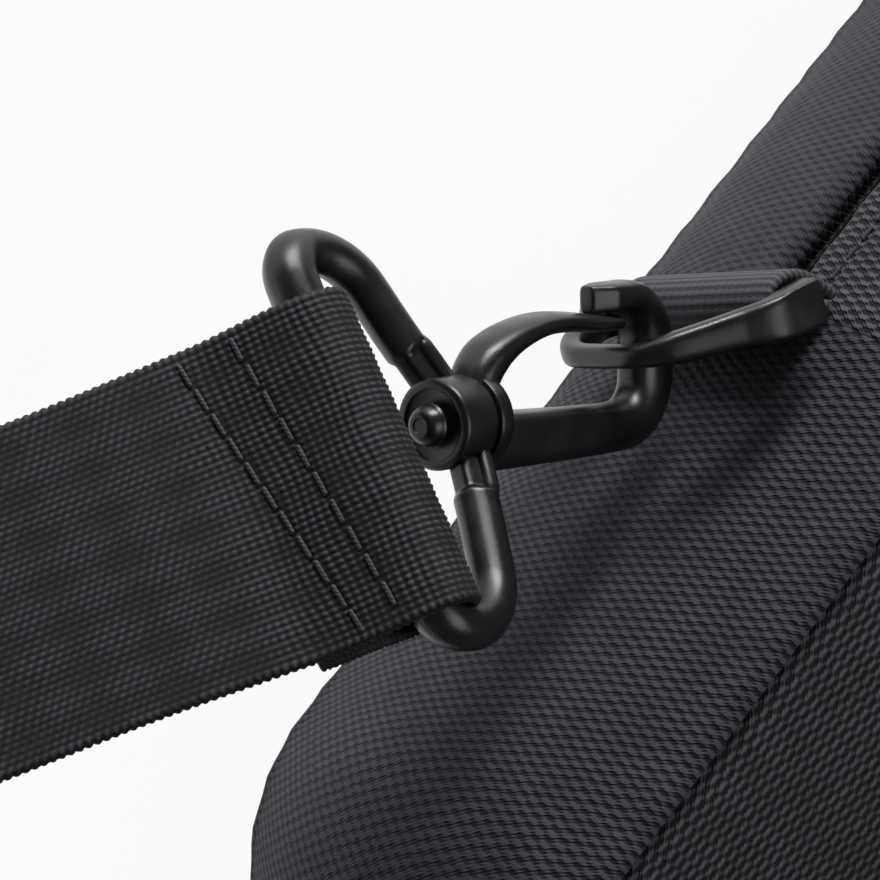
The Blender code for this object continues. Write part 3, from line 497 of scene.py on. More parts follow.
@dataclass(frozen=True)
class KnitMesh:
    """Polyester warp-knit over foam: staggered oval stitches, with painted shade in the gaps between them.
    """

    yarn: str = "#3d3e49"
    # gap: painted shade, the colour put where the stitch height is low, in the hollows between stitches
    gap: str = "#08080a"
    pitch_mm: float = 1.37  # along a row of stitches
    row_mm: float = 3.24  # two rows, as every second one is offset by half a stitch
    ply_mm: float = 0.46  # each stitch is two plies that lean opposite ways
    open_share: float = 0.0  # how far the gaps open into holes, which take the painted shade of the gap colour
    relief_mm: float = 0.42

    def material(self, name: str) -> Material:
        """The finish as a Blender material that reads the piece's UV map in millimetres."""
        look = Look(name)
        uv = look.cloth()
        drift = look.vector("MULTIPLY", {0: look.noise(uv, 0.35, 2.0).outputs[1], 1: (0.45, 0.45, 0.0)})
        u, v = look.axes(look.vector("ADD", {0: uv, 1: drift}))
        ply = look.wave("SINE", look.plus(u, v, 0.6), self.ply_mm)
        stitch = look.plus(look.lattice(u, v, self.pitch_mm, self.row_mm), ply, 0.2)
        height = look.ranged(stitch, -0.85 + 0.5 * self.open_share, 0.55 + 0.2 * self.open_share)
        # painted shade: the colour falls to the dark gap colour where the stitches are low
        colour = look.blended(height, linear(self.gap), look.yarn(self.yarn, uv, 0.16, 4.0, 0.82, 1.12))
        return look.finished(colour, height, self.relief_mm, 1.0, {
            "Roughness": 0.72, "Specular IOR Level": 0.25, "Sheen Weight": 0.06, "Sheen Roughness": 0.5})


@dataclass(frozen=True)
class WovenWebbing:
    """Heavy polypropylene webbing: rounded warp nubs in cross ribs, 1 mm along and 0.76 mm across."""

    yarn: str = "#393c43"
    # gap: painted shade, the colour put where the weave is low, between the nubs and ribs
    gap: str = "#0a0b0d"
    rib_mm: float = 1.0
    nub_mm: float = 0.76
    fibre_mm: float = 0.19
    relief_mm: float = 0.22
    rib_share: float = 0.55  # how much of the height belongs to the cross ribs
    woven: bool = False  # the piece's own surface is woven, and its weave attribute gives the height and the painted shade of the stitch rows

    def material(self, name: str) -> Material:
        """The finish as a Blender material that reads the piece's UV map in millimetres."""
        look = Look(name)
        uv = look.cloth()
        u, v = look.axes(uv)
        if self.woven:
            weave = look.add("Attribute", attribute_name="weave").outputs["Fac"]
            both = look.maths("MULTIPLY_ADD", weave, 2.2, -1.1)
        else:
            rib = look.maths("MULTIPLY", look.wave("COSINE", u, self.rib_mm), self.rib_share)
            both = look.plus(rib, look.wave("COSINE", v, self.nub_mm), 1 - self.rib_share)
        worn = look.maths("MULTIPLY_ADD", look.noise(uv, 1.6, 3.0).outputs[0], 0.5, -0.25)
        fibre = look.wave("SINE", look.plus(v, u, 0.35), self.fibre_mm)
        height = look.ranged(look.plus(look.maths("ADD", both, worn), fibre, 0.07), -0.8, 0.75)
        # painted shade: the colour falls to the dark gap colour where the weave is low
        colour = look.blended(height, linear(self.gap), look.yarn(self.yarn, uv, 0.12, 3.0, 0.9, 1.1))
        return look.finished(colour, height, self.relief_mm, 1.0, {
            "Roughness": 0.62, "Specular IOR Level": 0.3, "Sheen Weight": 0.03})


@dataclass(frozen=True)
class MouldedAcetal:
    """Injection-moulded black acetal: satin, with the fine spark-eroded grain of its mould."""

    colour: str = "#0a0a0b"
    handled: str = "#101012"
    roughness: float = 0.32
    grain_mm: float = 0.16
    relief_mm: float = 0.02

    def material(self, name: str) -> Material:
        """The finish as a Blender material that reads Object coordinates."""
        look = Look(name)
        place = look.add("TexCoord").outputs["Object"]
        grain = look.noise(place, 1 / (self.grain_mm * MM), 2.0, Roughness=0.6).outputs[0]
        wear = look.noise(place, 160.0, 3.0).outputs[0]
        rough = look.ranged(wear, 0.35, 0.7, self.roughness - 0.05, self.roughness + 0.08)
        tone = look.blended(wear, linear(self.colour), linear(self.handled))
        return look.finished(tone, grain, self.relief_mm, 1.0, {
            "Roughness": rough, "IOR": 1.48, "Specular IOR Level": 0.65})


@dataclass(frozen=True)
class PlainCloth:
    """Plain-woven nylon lining: a fine even over-and-under weave with a slight shine."""

    yarn: str = "#55565a"
    # gap: painted shade, the colour put where the weave is low
    gap: str = "#26272a"
    thread_mm: float = 0.5
    relief_mm: float = 0.08
    roughness: float = 0.6

    def material(self, name: str) -> Material:
        """The finish as a Blender material that reads the piece's UV map in millimetres."""
        look = Look(name)
        u, v = look.axes(look.cloth())
        height = look.ranged(look.lattice(u, v, 2 * self.thread_mm, 2 * self.thread_mm), -0.9, 0.9)
        # painted shade: the low threads of the lattice take the dark gap colour
        colour = look.blended(height, linear(self.gap), linear(self.yarn))
        return look.finished(colour, height, self.relief_mm, 0.6, {"Roughness": self.roughness})


@dataclass(frozen=True)
class SpunThread:
    """Bonded polyester sewing thread: twisted plies along each stitch."""

    colour: str = "#313338"
    # between: painted shade, the colour put in the grooves between the plies
    between: str = "#2c2d31"
    twist_mm: float = 0.55
    relief_mm: float = 0.05

    def material(self, name: str) -> Material:
        """The finish as a Blender material that reads the piece's UV map in millimetres."""
        look = Look(name)
        u, v = look.axes(look.cloth())
        height = look.ranged(look.wave("SINE", look.plus(u, v, 0.5), self.twist_mm), -1.0, 1.0)
        # painted shade: the grooves of the twist take the darker between colour
        colour = look.blended(height, linear(self.between), linear(self.colour))
        return look.finished(colour, height, self.relief_mm, 0.7, {"Roughness": 0.5})


@dataclass(frozen=True)
class CoatedZinc:
    """Die-cast zinc with a black electro-coat: smooth, a little glossy, rubbed paler in random patches."""

    colour: str = "#18181a"
    rubbed: str = "#26262a"
    roughness: float = 0.3
    relief_mm: float = 0.01

    def material(self, name: str) -> Material:
        """The finish as a Blender material that reads Object coordinates."""
        look = Look(name)
        cast = look.noise(look.add("TexCoord").outputs["Object"], 900.0, 3.0).outputs[0]
        colour = look.blended(cast, linear(self.colour), linear(self.rubbed))
        rough = look.ranged(cast, 0.3, 0.7, self.roughness, self.roughness + 0.15)
        return look.finished(colour, cast, self.relief_mm, 0.5, {"Roughness": rough, "Metallic": 0.35})


class Finish(Enum):
    """The named finishes of the bag and what each is made of."""

    KNIT = "knit_mesh"
    OPEN_KNIT = "open_knit_mesh"
    SMOOTH_KNIT = "smooth_knit"
    WEBBING = "woven_webbing"
    WEBBING_RELIEF = "woven_webbing_relief"
    TAB_WEBBING = "ribbed_webbing"
    ACETAL = "moulded_acetal"
    LINING = "nylon_lining"
    THREAD = "sewing_thread"
    COIL = "nylon_coil"
    ZINC = "coated_zinc"


Finishes = dict[Finish, Material]


def make_finishes() -> Finishes:
    """One material for each finish."""
    recipes = {
        # the cloth finishes' gap colours, here and in their defaults, are painted shade in the hollows of
        # the weave or knit
        Finish.KNIT: KnitMesh(),
        Finish.OPEN_KNIT: KnitMesh(yarn="#54555c", gap="#0a0a0c", open_share=0.6, relief_mm=0.36),
        Finish.SMOOTH_KNIT: KnitMesh(yarn="#393a42", gap="#25262b", relief_mm=0.14),
        Finish.WEBBING: WovenWebbing(),
        Finish.TAB_WEBBING: WovenWebbing(yarn="#4a4c52", gap="#292a2e", rib_share=0.75, nub_mm=1.2,
                                         relief_mm=0.1),
        Finish.WEBBING_RELIEF: WovenWebbing(relief_mm=0.05, woven=True),
        Finish.ACETAL: MouldedAcetal(),
        Finish.LINING: PlainCloth(),
        Finish.THREAD: SpunThread(),
        Finish.COIL: MouldedAcetal(colour="#141416", roughness=0.45, grain_mm=0.5),
        Finish.ZINC: CoatedZinc(),
    }
    return {key: recipe.material(key.value) for key, recipe in recipes.items()}


# ---------------------------------------------------------------- studio


@dataclass
class Studio:
    """A pale floor, soft lights and the camera, which looks down at the clipped end's hook."""

    boss: Array
    elevation: float = math.radians(56)
    turn: float = math.radians(19)  # the view's direction from -X towards -Y
    roll_cos: float = 0.9245
    roll_sin: float = 0.381
    distance: float = 0.38
    sensor_mm: float = 36.0
    view_wide: float = 97.7778 * MM  # what the view spans at the boss
    boss_right: float = -0.8889 * MM  # the boss from the view's middle
    boss_up: float = 1.6667 * MM
    floor_half: float = 4.0

    def axes(self) -> tuple[Array, Array, Array]:
        """The camera's right, up and back directions."""
        forward = np.array([-math.cos(self.turn), -math.sin(self.turn), 0])
        level = np.array([-math.sin(self.turn), math.cos(self.turn), 0])
        up = math.sin(self.elevation) * forward + Z_WAY * math.cos(self.elevation)
        right = self.roll_cos * up - self.roll_sin * level
        rise = -self.roll_sin * up - self.roll_cos * level
        return right, rise, np.cross(right, rise)

    def camera(self) -> None:
        """Creates the camera, so that the boss lies at its place in the view."""
        right, rise, back = self.axes()
        aim = self.boss - right * self.boss_right - rise * self.boss_up
        data = bpy.data.cameras.new("camera")
        data.sensor_width = self.sensor_mm
        data.lens = self.distance * self.sensor_mm / self.view_wide
        data.clip_start = 0.01
        data.clip_end = 50.0
        place = np.eye(4)
        place[:3, 0], place[:3, 1], place[:3, 2] = right, rise, back
        place[:3, 3] = aim + back * self.distance
        camera = bpy.data.objects.new("camera", data)
        camera.matrix_world = Matrix(place.tolist())
        bpy.context.scene.collection.objects.link(camera)
        bpy.context.scene.camera = camera

    def area(self, name: str, place: Sequence[float], wide: float, tall: float, power: float) -> None:
        """A soft area lamp that faces the bag's clipped end."""
        data = bpy.data.lights.new(name, "AREA")
        data.shape = "RECTANGLE"
        data.size, data.size_y = wide, tall
        data.energy = power
        lamp = bpy.data.objects.new(name, data)
        lamp.location = place
        aim = Vector(self.boss.tolist()) - lamp.location
        lamp.rotation_euler = aim.to_track_quat("-Z", "Y").to_euler()
        bpy.context.scene.collection.objects.link(lamp)

    def floor(self) -> None:
        """A pale floor that reads white where it is lit, and keeps a soft shadow."""
        look = Look("paper_floor")
        look.feed(look.shader, {"Base Color": linear("#f4f4f4"), "Roughness": 0.9,
                                "Specular IOR Level": 0.1})
        ray = look.add("LightPath")
        seen = look.maths("MAXIMUM", ray.outputs["Is Camera Ray"], ray.outputs["Is Glossy Ray"])
        glow = look.add("Emission", {"Color": (1, 1, 1, 1), "Strength": 1.0})
        mix = look.add("MixShader", {0: look.maths("MULTIPLY", seen, 0.95), 1: look.shader.outputs[0],
                                     2: glow.outputs[0]})
        look.feed(look.tree.nodes["Material Output"], {"Surface": mix.outputs[0]})
        side = np.linspace(-self.floor_half, self.floor_half, 5)
        x, y = np.meshgrid(side, side, indexing="ij")
        i, j = np.meshgrid(np.arange(4), np.arange(4), indexing="ij")
        first = i * 5 + j
        quads = np.stack([first, first + 5, first + 6, first + 1], -1).reshape(-1, 4)
        mesh = bpy.data.meshes.new("floor")
        mesh.from_pydata(np.stack([x, y, 0 * x - 0.3 * MM], -1).reshape(-1, 3).tolist(), [], quads.tolist())
        mesh.materials.append(look.material)
        floor = bpy.data.objects.new("floor", mesh)
        bpy.context.scene.collection.objects.link(floor)

    def build(self) -> None:
        """Sets the camera, lamps, world and floor."""
        scene = bpy.context.scene
        scene.view_settings.view_transform = "Standard"
        self.camera()
        world = bpy.data.worlds.new("studio")
        world.use_nodes = True
        world.node_tree.nodes["Background"].inputs["Color"].default_value = (1, 1, 1, 1)
        world.node_tree.nodes["Background"].inputs["Strength"].default_value = 0.1
        scene.world = world
        self.area("key", (1.02, -0.93, 0.2), 0.9, 0.36, 18.0)
        self.area("top", (-0.1, -0.3, 1.5), 1.0, 1.0, 7.0)
        self.area("spine_side", (0.3, 1.3, 0.6), 0.8, 0.8, 0.2)
        self.floor()
        log.info("studio: camera, three lamps and the floor")


# ---------------------------------------------------------------- moulded hooks


@dataclass
class SwivelHook:
    """A moulded snap hook: a ring with its boss, a headed pin, the hook and its springy gate.

    Its sizes are in millimetres.  The ring's are from the boss, back towards the webbing; the
    hook's and the gate's are from the boss along the swivel axis, and up from it.
    """

    suffix: str
    place: Array  # X along the swivel axis from the boss, Y up to the gate
    ring_dir: Array
    ring_body: str
    boss_r: float = 5.2
    boss_long: float = 5.6
    flange_r: float = 5.4
    flange_long: float = 2.3
    gap: float = 0.3
    rod: float = 3.0  # the bar; the arms are slimmer
    arm: float = 2.5
    neck: float = 2.1
    neck_long: float = 9.0
    ring_half: float = 23.2
    ring_back: float = 12.4
    ring_lean: float = 17.0  # degrees between the arms and the bar
    ring_fall: float = 0.7
    front_bend: float = 7.5
    bar_bend: float = 4.2
    shank_low: float = -3.2
    shank_half: float = 3.0
    shank_bend: float = 5.7
    upright_at: float = 40.1
    upright_half: float = 3.6
    curl_turn: float = 6.3
    tip_high: float = 12.2
    tip_at: float = 28.3
    tip_half: float = 1.65
    tip_flat: float = 1.0  # half width of the tip's end, between its bevels
    half_wide: float = 2.75
    gate_end: float = 33.0

    def ring_place(self) -> Array:
        """The ring's frame: X along its bar, Y from the boss towards the webbing."""
        return frame_matrix(self.place[:3, 3], self.ring_dir, -self.place[:3, 0])

    def ring(self, finish: Material) -> Object:
        """The ring: two arms with a parting ridge, their flat necks, the bar and the boss."""
        front, bar, half, back = self.front_bend, self.bar_bend, self.ring_half, self.ring_back
        bend = arc((half - front, front + self.ring_fall), front, -90 + self.ring_lean, 0, 14)
        slope = math.tan(math.radians(self.ring_lean))
        x = np.array([2.0, 4.5, 7.0, 9.5, 12.0, 14.5])
        arm = np.stack([x, bend[0, 1] - (bend[0, 0] - x) * slope], -1)
        heel = arc((half - bar, back - bar), bar, 0, 90, 9)[1:]
        right = np.concatenate([arm, bend, heel, [[half - bar - 6, back]]])
        path = np.concatenate([right, [[0.0, back]], right[::-1] * (-1, 1)]) * MM
        fine = resample(path, 520)
        reach = np.abs(fine[:, 0]) / MM
        front_side = fine[:, 1] < back / 2 * MM
        step = np.where(front_side, smoothstep((reach - self.neck_long + 0.5) / 1.1), 1.0)
        rod = self.arm + (self.rod - self.arm) * smoothstep((fine[:, 1] / MM - back + bar) / bar)
        thick = (self.neck + (rod - self.neck) * step) * MM
        wide = (self.neck * 0.72 + (rod - self.neck * 0.72) * step) * MM
        count = 40
        lean = np.abs(np.sin(np.linspace(0, 2 * np.pi, count, endpoint=False) + np.pi / count))
        ridge = 0.3 * MM * (1 - lean) ** 3  # the mould's parting line
        settle = smoothstep((reach - self.neck_long) / 10)
        fine = fine + np.stack([0.5 * MM * settle, 0.03 * fine[:, 0] * settle], -1)
        points, uv = planar_bar(fine, thick, wide, 2.0 + 1.8 * (1 - step) + 0.1 * step, count)
        points = points + unit(points - raised(fine)[:, None]) * (ridge * step[:, None])[..., None]
        surface = Surface().tube((points, uv), self.ring_place())
        r = self.boss_r
        face = [(0.34, 0.02), (0.34, r - 1.45), (0.26, r - 1.25), (0.02, r - 1.05), (0.0, r - 0.55),
                (0.06, r - 0.25), (0.3, r - 0.04), (0.6, r), *self.rim(self.boss_long, r)]
        surface.tube((turned(np.array(face) * MM), None), self.place)
        # on the hook's side each arm's full depth runs on to the boss, past the neck's notch
        for side in (1, -1):
            x = np.array([3.2, 5.0, 7.0, 8.8, 10.4])
            line = bend[0, 1] - (bend[0, 0] - x) * slope - 1.15
            web = np.stack([side * (x + 0.35), line], -1)
            sizes = np.array([[1.15, 2.2], [1.15, 2.3], [1.15, 2.35], [1.15, 2.3], [0.8, 1.8]])
            rib = rounded_bar(web * MM, sizes * MM, 20, 0.3 * MM, 0.3 * MM)
            surface.tube(planar_bar(*rib, 3.2, 24), self.ring_place())
        return surface.piece(f"ring_{self.suffix}", [finish], f"hook_ring_{self.suffix}", "acetal",
                             self.ring_body)

    @staticmethod
    def rim(end: float, r: float) -> list[tuple[float, float]]:
        """The eased edge and flat end of a turned profile."""
        return [(end - 0.5, r), (end - 0.15, r - 0.12), (end, r - 0.5), (end, 0.02)]

    def pin(self, finish: Material) -> Object:
        """The pin: a domed head with a small flat, and its stem through the boss."""
        turns = np.radians(np.linspace(74, 8, 9))
        head = np.stack([-0.3 - 2.0 * np.sin(turns), 0.95 + 1.45 * np.cos(turns)], -1)
        stem = self.boss_long + self.gap + self.flange_long - 0.6
        flat = [[-2.05, 0.02], [-2.05, 0.8], [-2.2, 0.95]]
        under = [[-0.42, 2.52], [-0.3, 2.4], [-0.3, 1.9], [stem, 1.9], [stem, 0.02]]
        profile = np.concatenate([flat, head, under])
        surface = Surface().tube((turned(profile * MM), None), self.place)
        return surface.piece(f"pin_{self.suffix}", [finish], f"swivel_pin_{self.suffix}", "acetal",
                             f"hook_{self.suffix}")

    def hook(self, finish: Material) -> Object:
        """The hook: flange, shank, upright and curled tip with a squared end."""
        low, bend, curl = self.shank_low, self.shank_bend, self.tip_high - self.curl_turn
        start = self.boss_long + self.gap
        turn = arc((self.upright_at - bend, low + bend), bend, -90, 0, 10)
        curled = arc((self.upright_at - curl, self.curl_turn), curl, 0, 90, 12)
        shank = [[start + 0.6, low + 0.4], [12, low + 0.35], [18, low + 0.2], [26, low]]
        tip = [[self.tip_at + 3.0, self.tip_high], [self.tip_at, self.tip_high - 0.1]]
        path = np.concatenate([shank, turn, curled, tip])
        upright, tip_half, side = self.upright_half, self.tip_half, self.half_wide
        thick = np.concatenate([[3.3, 3.3, 3.2, self.shank_half], np.linspace(self.shank_half, upright, 10),
                                np.linspace(upright, tip_half + 0.15, 12), [tip_half + 0.1, tip_half]])
        wide = np.concatenate([np.full(4, side), np.full(10, side + 0.1),
                               np.linspace(side + 0.1, side - 0.1, 12), [side - 0.15, self.tip_flat]])
        bar = rounded_bar(path * MM, np.stack([thick, wide], -1) * MM, 150, 0.0, 0.35 * MM)
        share = np.linspace(0, 1, len(bar[0]))
        power = 2.4 + 1.8 * smoothstep((share - 0.8) / 0.12) + smoothstep((0.45 - share) / 0.1)
        surface = Surface().tube(planar_bar(*bar, power, 40), self.place)
        r, end = self.flange_r, start + self.flange_long
        flange = [(start, 0.02), (start, r - 0.5), (start + 0.14, r - 0.12), (start + 0.45, r),
                  *self.rim(end, r)]
        surface.tube((turned(np.array(flange) * MM), None), self.place)
        return surface.piece(f"hook_body_{self.suffix}", [finish], f"hook_{self.suffix}", "acetal",
                             f"hook_{self.suffix}")

    def gate(self, finish: Material) -> Object:
        """The gate: it springs from the flange's top with a wide fillet and ends under the tip."""
        under = self.tip_high - self.tip_half - self.gap - 1.0
        path = np.array([[6.9, 2.9], [7.8, 4.9], [9.4, 6.7], [11.8, 8.1], [15.0, 9.2], [18.9, 9.9],
                         [23.9, 9.85], [28.4, 9.4], [self.gate_end, under]])
        thick = np.array([2.3, 2.35, 2.2, 1.85, 1.55, 1.35, 1.2, 1.1, 1.0])
        wide = np.array([2.7, 2.95, 3.1, 3.1, 3.1, 3.0, 2.8, 2.6, 2.45])
        bar = rounded_bar(path * MM, np.stack([thick, wide], -1) * MM, 110, 0.0, 0.4 * MM)
        surface = Surface().tube(planar_bar(*bar, 2.4, 36), self.place)
        return surface.piece(f"gate_arm_{self.suffix}", [finish], f"gate_{self.suffix}", "acetal",
                             f"gate_{self.suffix}")

    def build(self, finish: Material) -> None:
        """Builds all four pieces."""
        self.ring(finish)
        self.pin(finish)
        self.hook(finish)
        self.gate(finish)


@dataclass
class DRing:
    """A moulded D-ring: a round bar in the tab, square flared feet and a slim rounded bow.

    Its sizes are in millimetres.
    """

    suffix: str
    place: Array  # X from the bar to the bow, Z along the bar
    outer: float = 33.4
    rim: float = 3.4
    bow: float = 22.0
    corner: float = 6.2
    reach: float = 18.6
    square: float = 4.4
    heel: float = 2.5  # how far the feet stand out behind the bar
    foot: float = 2.9  # half width at the feet, at the legs and at the bow
    leg: float = 2.2
    slim: float = 1.4
    lift: float = -0.1  # how far the legs stand off the bar's middle
    tilt: float = math.radians(-2.4)
    roll: float = math.radians(1.5)

    def build(self, finish: Material) -> Object:
        """The ring as one smooth bar from foot to foot, with the bar that the tab holds."""
        foot_z, bow_z = (self.outer - self.rim) / 2, (self.bow - self.rim) / 2
        centre = np.array([self.reach - self.corner, bow_z - self.corner])
        from_centre = np.array([self.square, foot_z]) - centre
        away = math.hypot(*from_centre)
        touch = math.degrees(math.atan2(from_centre[1], from_centre[0]) - math.acos(self.corner / away))
        turn = arc(tuple(centre), self.corner, touch, 0, 12)
        share = np.array([0.0, 0.35, 0.7])[:, None]
        slant = np.array([self.square, foot_z]) * (1 - share) + turn[0] * share
        foot = np.array([[-self.heel, foot_z], [0.0, foot_z], [2.4, foot_z]])
        leg = np.concatenate([foot, slant, turn])
        path = np.concatenate([leg, leg[::-1] * (1, -1)])
        at, wide = [1.5, 10.0, 15.5, self.reach], [self.foot, self.leg, self.leg - 0.25, self.slim]
        half = np.stack([1.6 - 0.15 * smoothstep(path[:, 0] / 8), np.interp(path[:, 0], at, wide)], -1)
        bow = rounded_bar(path * MM, half * MM, 170, 0.35 * MM, 0.35 * MM)
        flat = smoothstep((bow[0][:, 0] / MM - 2) / 6)
        spin = np.eye(4)
        cos, sin = math.cos(self.tilt), math.sin(self.tilt)
        spin[:3, :3] = [[cos, 0, -sin], [sin, math.sin(self.roll), cos], [0, math.cos(self.roll), 0]]
        spin[1, 3] = self.lift * MM
        surface = Surface().tube(planar_bar(*bow, 6.0 - 3.2 * flat, 40), self.place @ spin)
        bar = np.linspace(-foot_z, foot_z, 12)[:, None] * Z_WAY * MM
        surface.tube(sweep(bar, X_WAY, Y_WAY, superellipse(24, 2.6) * self.rim / 2 * MM), self.place)
        return surface.piece(f"d_shape_{self.suffix}", [finish], f"d_ring_{self.suffix}", "acetal",
                             f"ring_d_{self.suffix}")


# ---------------------------------------------------------------- webbing


def ribbon(path: Array, out: Array, wide: Array, half_thick: float, half_wide: float,
           face_points: int) -> tuple[Array, Array]:
    """A flat band with rounded edges.

    Args:
        path: (m, 3) centreline in metres.
        out: (m, 3) unit normals of the band's outer face.
        wide: (m, 3) unit vectors across the band.
        half_thick: half thickness in metres.
        half_wide: half width in metres.
        face_points: points along each face.

    Returns:
        (m, n, 3) points and an (m, n + 1, 2) UV map in millimetres, along and across.
    """
    turn, flat = half_turn(5), half_wide - half_thick
    outer = np.stack([np.full(face_points, half_thick), np.linspace(-flat, flat, face_points)], -1)
    edge = np.stack([half_thick * np.cos(turn), flat + half_thick * np.sin(turn)], -1)
    section = np.concatenate([outer, edge, outer[::-1] * (-1, 1), edge[::-1] * (1, -1)])
    points, _ = sweep(path, out, wide, section)
    return points, uv_map(arc_length(path) / MM, np.append(section[:, 1], section[0, 1]) / MM)


def stitches(starts: Array, along: Array, out: Array, long: Array | float, radius: float,
             count: int = 8) -> list[Array]:
    """Short capsules of thread, each half sunk in the cloth.

    Args:
        starts: (k, 3) middles of the stitches.
        along: (k, 3) unit directions.
        out: (k, 3) unit normals of the cloth.
        long: stitch length in metres.
        radius: thread radius in metres.
        count: points round the thread.

    Returns:
        One (m, count, 3) grid for each stitch.
    """
    t = np.radians(np.array([-88, -55, -25, 0, 25, 55, 88]))
    x = np.sign(t) * (long / 2 - radius) + radius * np.sin(t)
    r = radius * np.where(np.abs(t) < 0.5, 1.0, np.cos(t))
    ring = np.linspace(0, 2 * np.pi, count, endpoint=False)
    across = np.cross(out, along)
    bow = -0.45 * radius * (2 * x / long) ** 2
    grids = (starts[:, None, None] + along[:, None, None] * x[None, :, None, None]
             + across[:, None, None] * (r[:, None] * np.cos(ring))[None, ..., None]
             + out[:, None, None] * (r[:, None] * np.sin(ring) + bow[:, None])[None, ..., None])
    return list(grids)


def thread_piece(name: str, grids: list[Array], finish: Material, node: str, slot: str,
                 body: str) -> Object:
    """Stitches as one piece that rides on the cloth's body."""
    surface = Surface()
    for grid in grids:
        along = np.linalg.norm(grid.mean(1) - grid.mean(1)[:1], axis=1) / MM
        surface.tube((grid, uv_map(along, np.linspace(0, 2.2, grid.shape[1] + 1))))
    return surface.piece(name, [finish], node, slot, body)


@dataclass
class Strap:
    """The shoulder strap: sewn round the clipped ring, along the floor, round ring b and back."""

    boss: Array
    axis: Array
    ring_dir: Array
    away: Array = field(default_factory=lambda: unit(np.array([0.4431, 0.8588, -0.2210])))
    ring_back: float = 12.4 * MM
    off_centre: float = 3.1 * MM
    half_wide: float = 18.8 * MM  # at the fold, where the webbing spreads
    slack_wide: float = 17.9 * MM  # half the width away from it
    thick: float = 1.6 * MM
    layer_gap: float = 0.4 * MM
    rod: float = 3.0 * MM
    fold_close: float = 14 * MM
    lead: float = 59.6 * MM
    turn_r: float = 50 * MM
    last: float = 36 * MM
    corner_b: float = -235 * MM
    tail_end: float = 100 * MM
    clear: float = 0.3 * MM
    bar_room: float = 0.5 * MM  # between a ring's bar and the webbing round it
    hook_b_height: float = 26.5 * MM
    glide_height: float = 23.4 * MM
    glide_before: float = 95 * MM
    glide_after: float = 80 * MM
    climb: float = 95 * MM
    floor_run: float = 40 * MM
    last_climb: float = 98 * MM
    last_level: float = 12 * MM
    sewn: float = 20 * MM
    slant: float = 6.5 * MM
    fine_long: float = 64 * MM
    rib_mm: float = 1.0
    nub_mm: float = 0.76
    relief: float = 0.34 * MM

    @property
    def round_bar(self) -> float:
        """From the middle of a ring's bar to the middle of the webbing round it."""
        return self.rod + self.bar_room + self.thick / 2

    def start(self) -> Array:
        """Where the route leaves the clipped ring's bar."""
        return self.boss - self.axis * self.ring_back + self.ring_dir * self.off_centre

    def legs(self) -> tuple[float, float, float, float]:
        """The plan's heading, lead, first turn's length and straight run."""
        heading = math.atan2(self.away[1], self.away[0])
        lead = self.lead * math.hypot(self.away[0], self.away[1])
        x = self.start()[0] + lead * math.cos(heading)
        run = x - self.turn_r * math.sin(heading) - self.corner_b
        return heading, lead, (math.pi - heading) * self.turn_r, run

    def total(self) -> float:
        """The route's length in plan."""
        _, lead, turn, run = self.legs()
        return lead + turn + run + math.pi / 2 * self.turn_r + self.last

    def plan(self, d: Array) -> tuple[Array, Array, Array]:
        """Place and heading in plan at distances along the route."""
        heading, lead, turn, run = self.legs()
        r = self.turn_r
        h = heading + np.clip((d - lead) / r, 0, math.pi - heading)
        h = h + np.clip((d - lead - turn - run) / r, 0, math.pi / 2)
        x = self.start()[0] + np.minimum(d, lead) * math.cos(heading)
        y = self.start()[1] + np.minimum(d, lead) * math.sin(heading)
        first = np.minimum(h, math.pi)
        x = x + r * (np.sin(first) - math.sin(heading)) - np.clip(d - lead - turn, 0, run)
        y = y - r * (np.cos(first) - math.cos(heading))
        second = np.maximum(h, math.pi)
        x = x + r * np.sin(second)
        y = y - r * (np.cos(second) + 1.0) - np.clip(d - (self.total() - self.last), 0, self.last)
        return x, y, h

    def height(self, d: Array) -> Array:
        """Height of the strap's middle along the route."""
        _, lead, turn, run = self.legs()
        slope = self.away[2] / math.hypot(self.away[0], self.away[1])
        z0 = self.start()[2]
        low = self.slack_wide + self.clear
        total = self.total()
        glide_at = lead + turn + run + self.corner_b
        first_low = glide_at - self.glide_before - self.climb
        marks = np.array([lead, first_low - self.floor_run, first_low, glide_at - self.glide_before,
                          glide_at + self.glide_after, glide_at + self.glide_after + self.climb,
                          total - self.last_level - self.last_climb, total - self.last_level])
        tall = np.array([z0 + slope * lead, low, low, self.glide_height, self.glide_height, low, low,
                         self.hook_b_height])
        k = np.clip(np.searchsorted(marks, d, side="right") - 1, 0, len(marks) - 2)
        t = np.clip((d - marks[k]) / (marks[k + 1] - marks[k]), 0, 1)
        bow = np.where(k == 0, (t - 2 * t * t + t ** 3) * slope * (marks[1] - marks[0]), 0.0)
        after = tall[k] + bow + (tall[k + 1] - tall[k]) * smoothstep(t)
        return np.where(d <= lead, z0 + slope * d, after)

    def frames(self, d: Array) -> tuple[Array, Array, Array]:
        """Points, directions and width directions at distances along the route."""
        x, y, h = self.plan(d)
        z, step = self.height(d), 0.5 * MM
        ahead = unit(np.stack([np.cos(h), np.sin(h), (self.height(d + step) - z) / step], -1))
        level = unit(Z_WAY - ahead * ahead[:, 2:])
        first = unit(self.ring_dir - ahead * (ahead @ self.ring_dir)[:, None])
        twist = smoothstep((d - self.legs()[1] * 0.8) / (130 * MM))[:, None]
        return np.stack([x, y, z], -1), ahead, unit(first * (1 - twist) + level * twist)

    def layer(self, d: Array, side: float) -> tuple[Array, Array, Array]:
        """One layer's centreline with its outer normals and width directions; side is 1 or -1."""
        here, ahead, wide = self.frames(d)
        near = np.minimum(d, self.total() - d)
        flat = (self.thick + self.layer_gap) / 2
        off = self.round_bar + (flat - self.round_bar) * smoothstep(near / self.fold_close)
        out = np.cross(wide, ahead) * side
        return here + out * off[:, None], out, wide

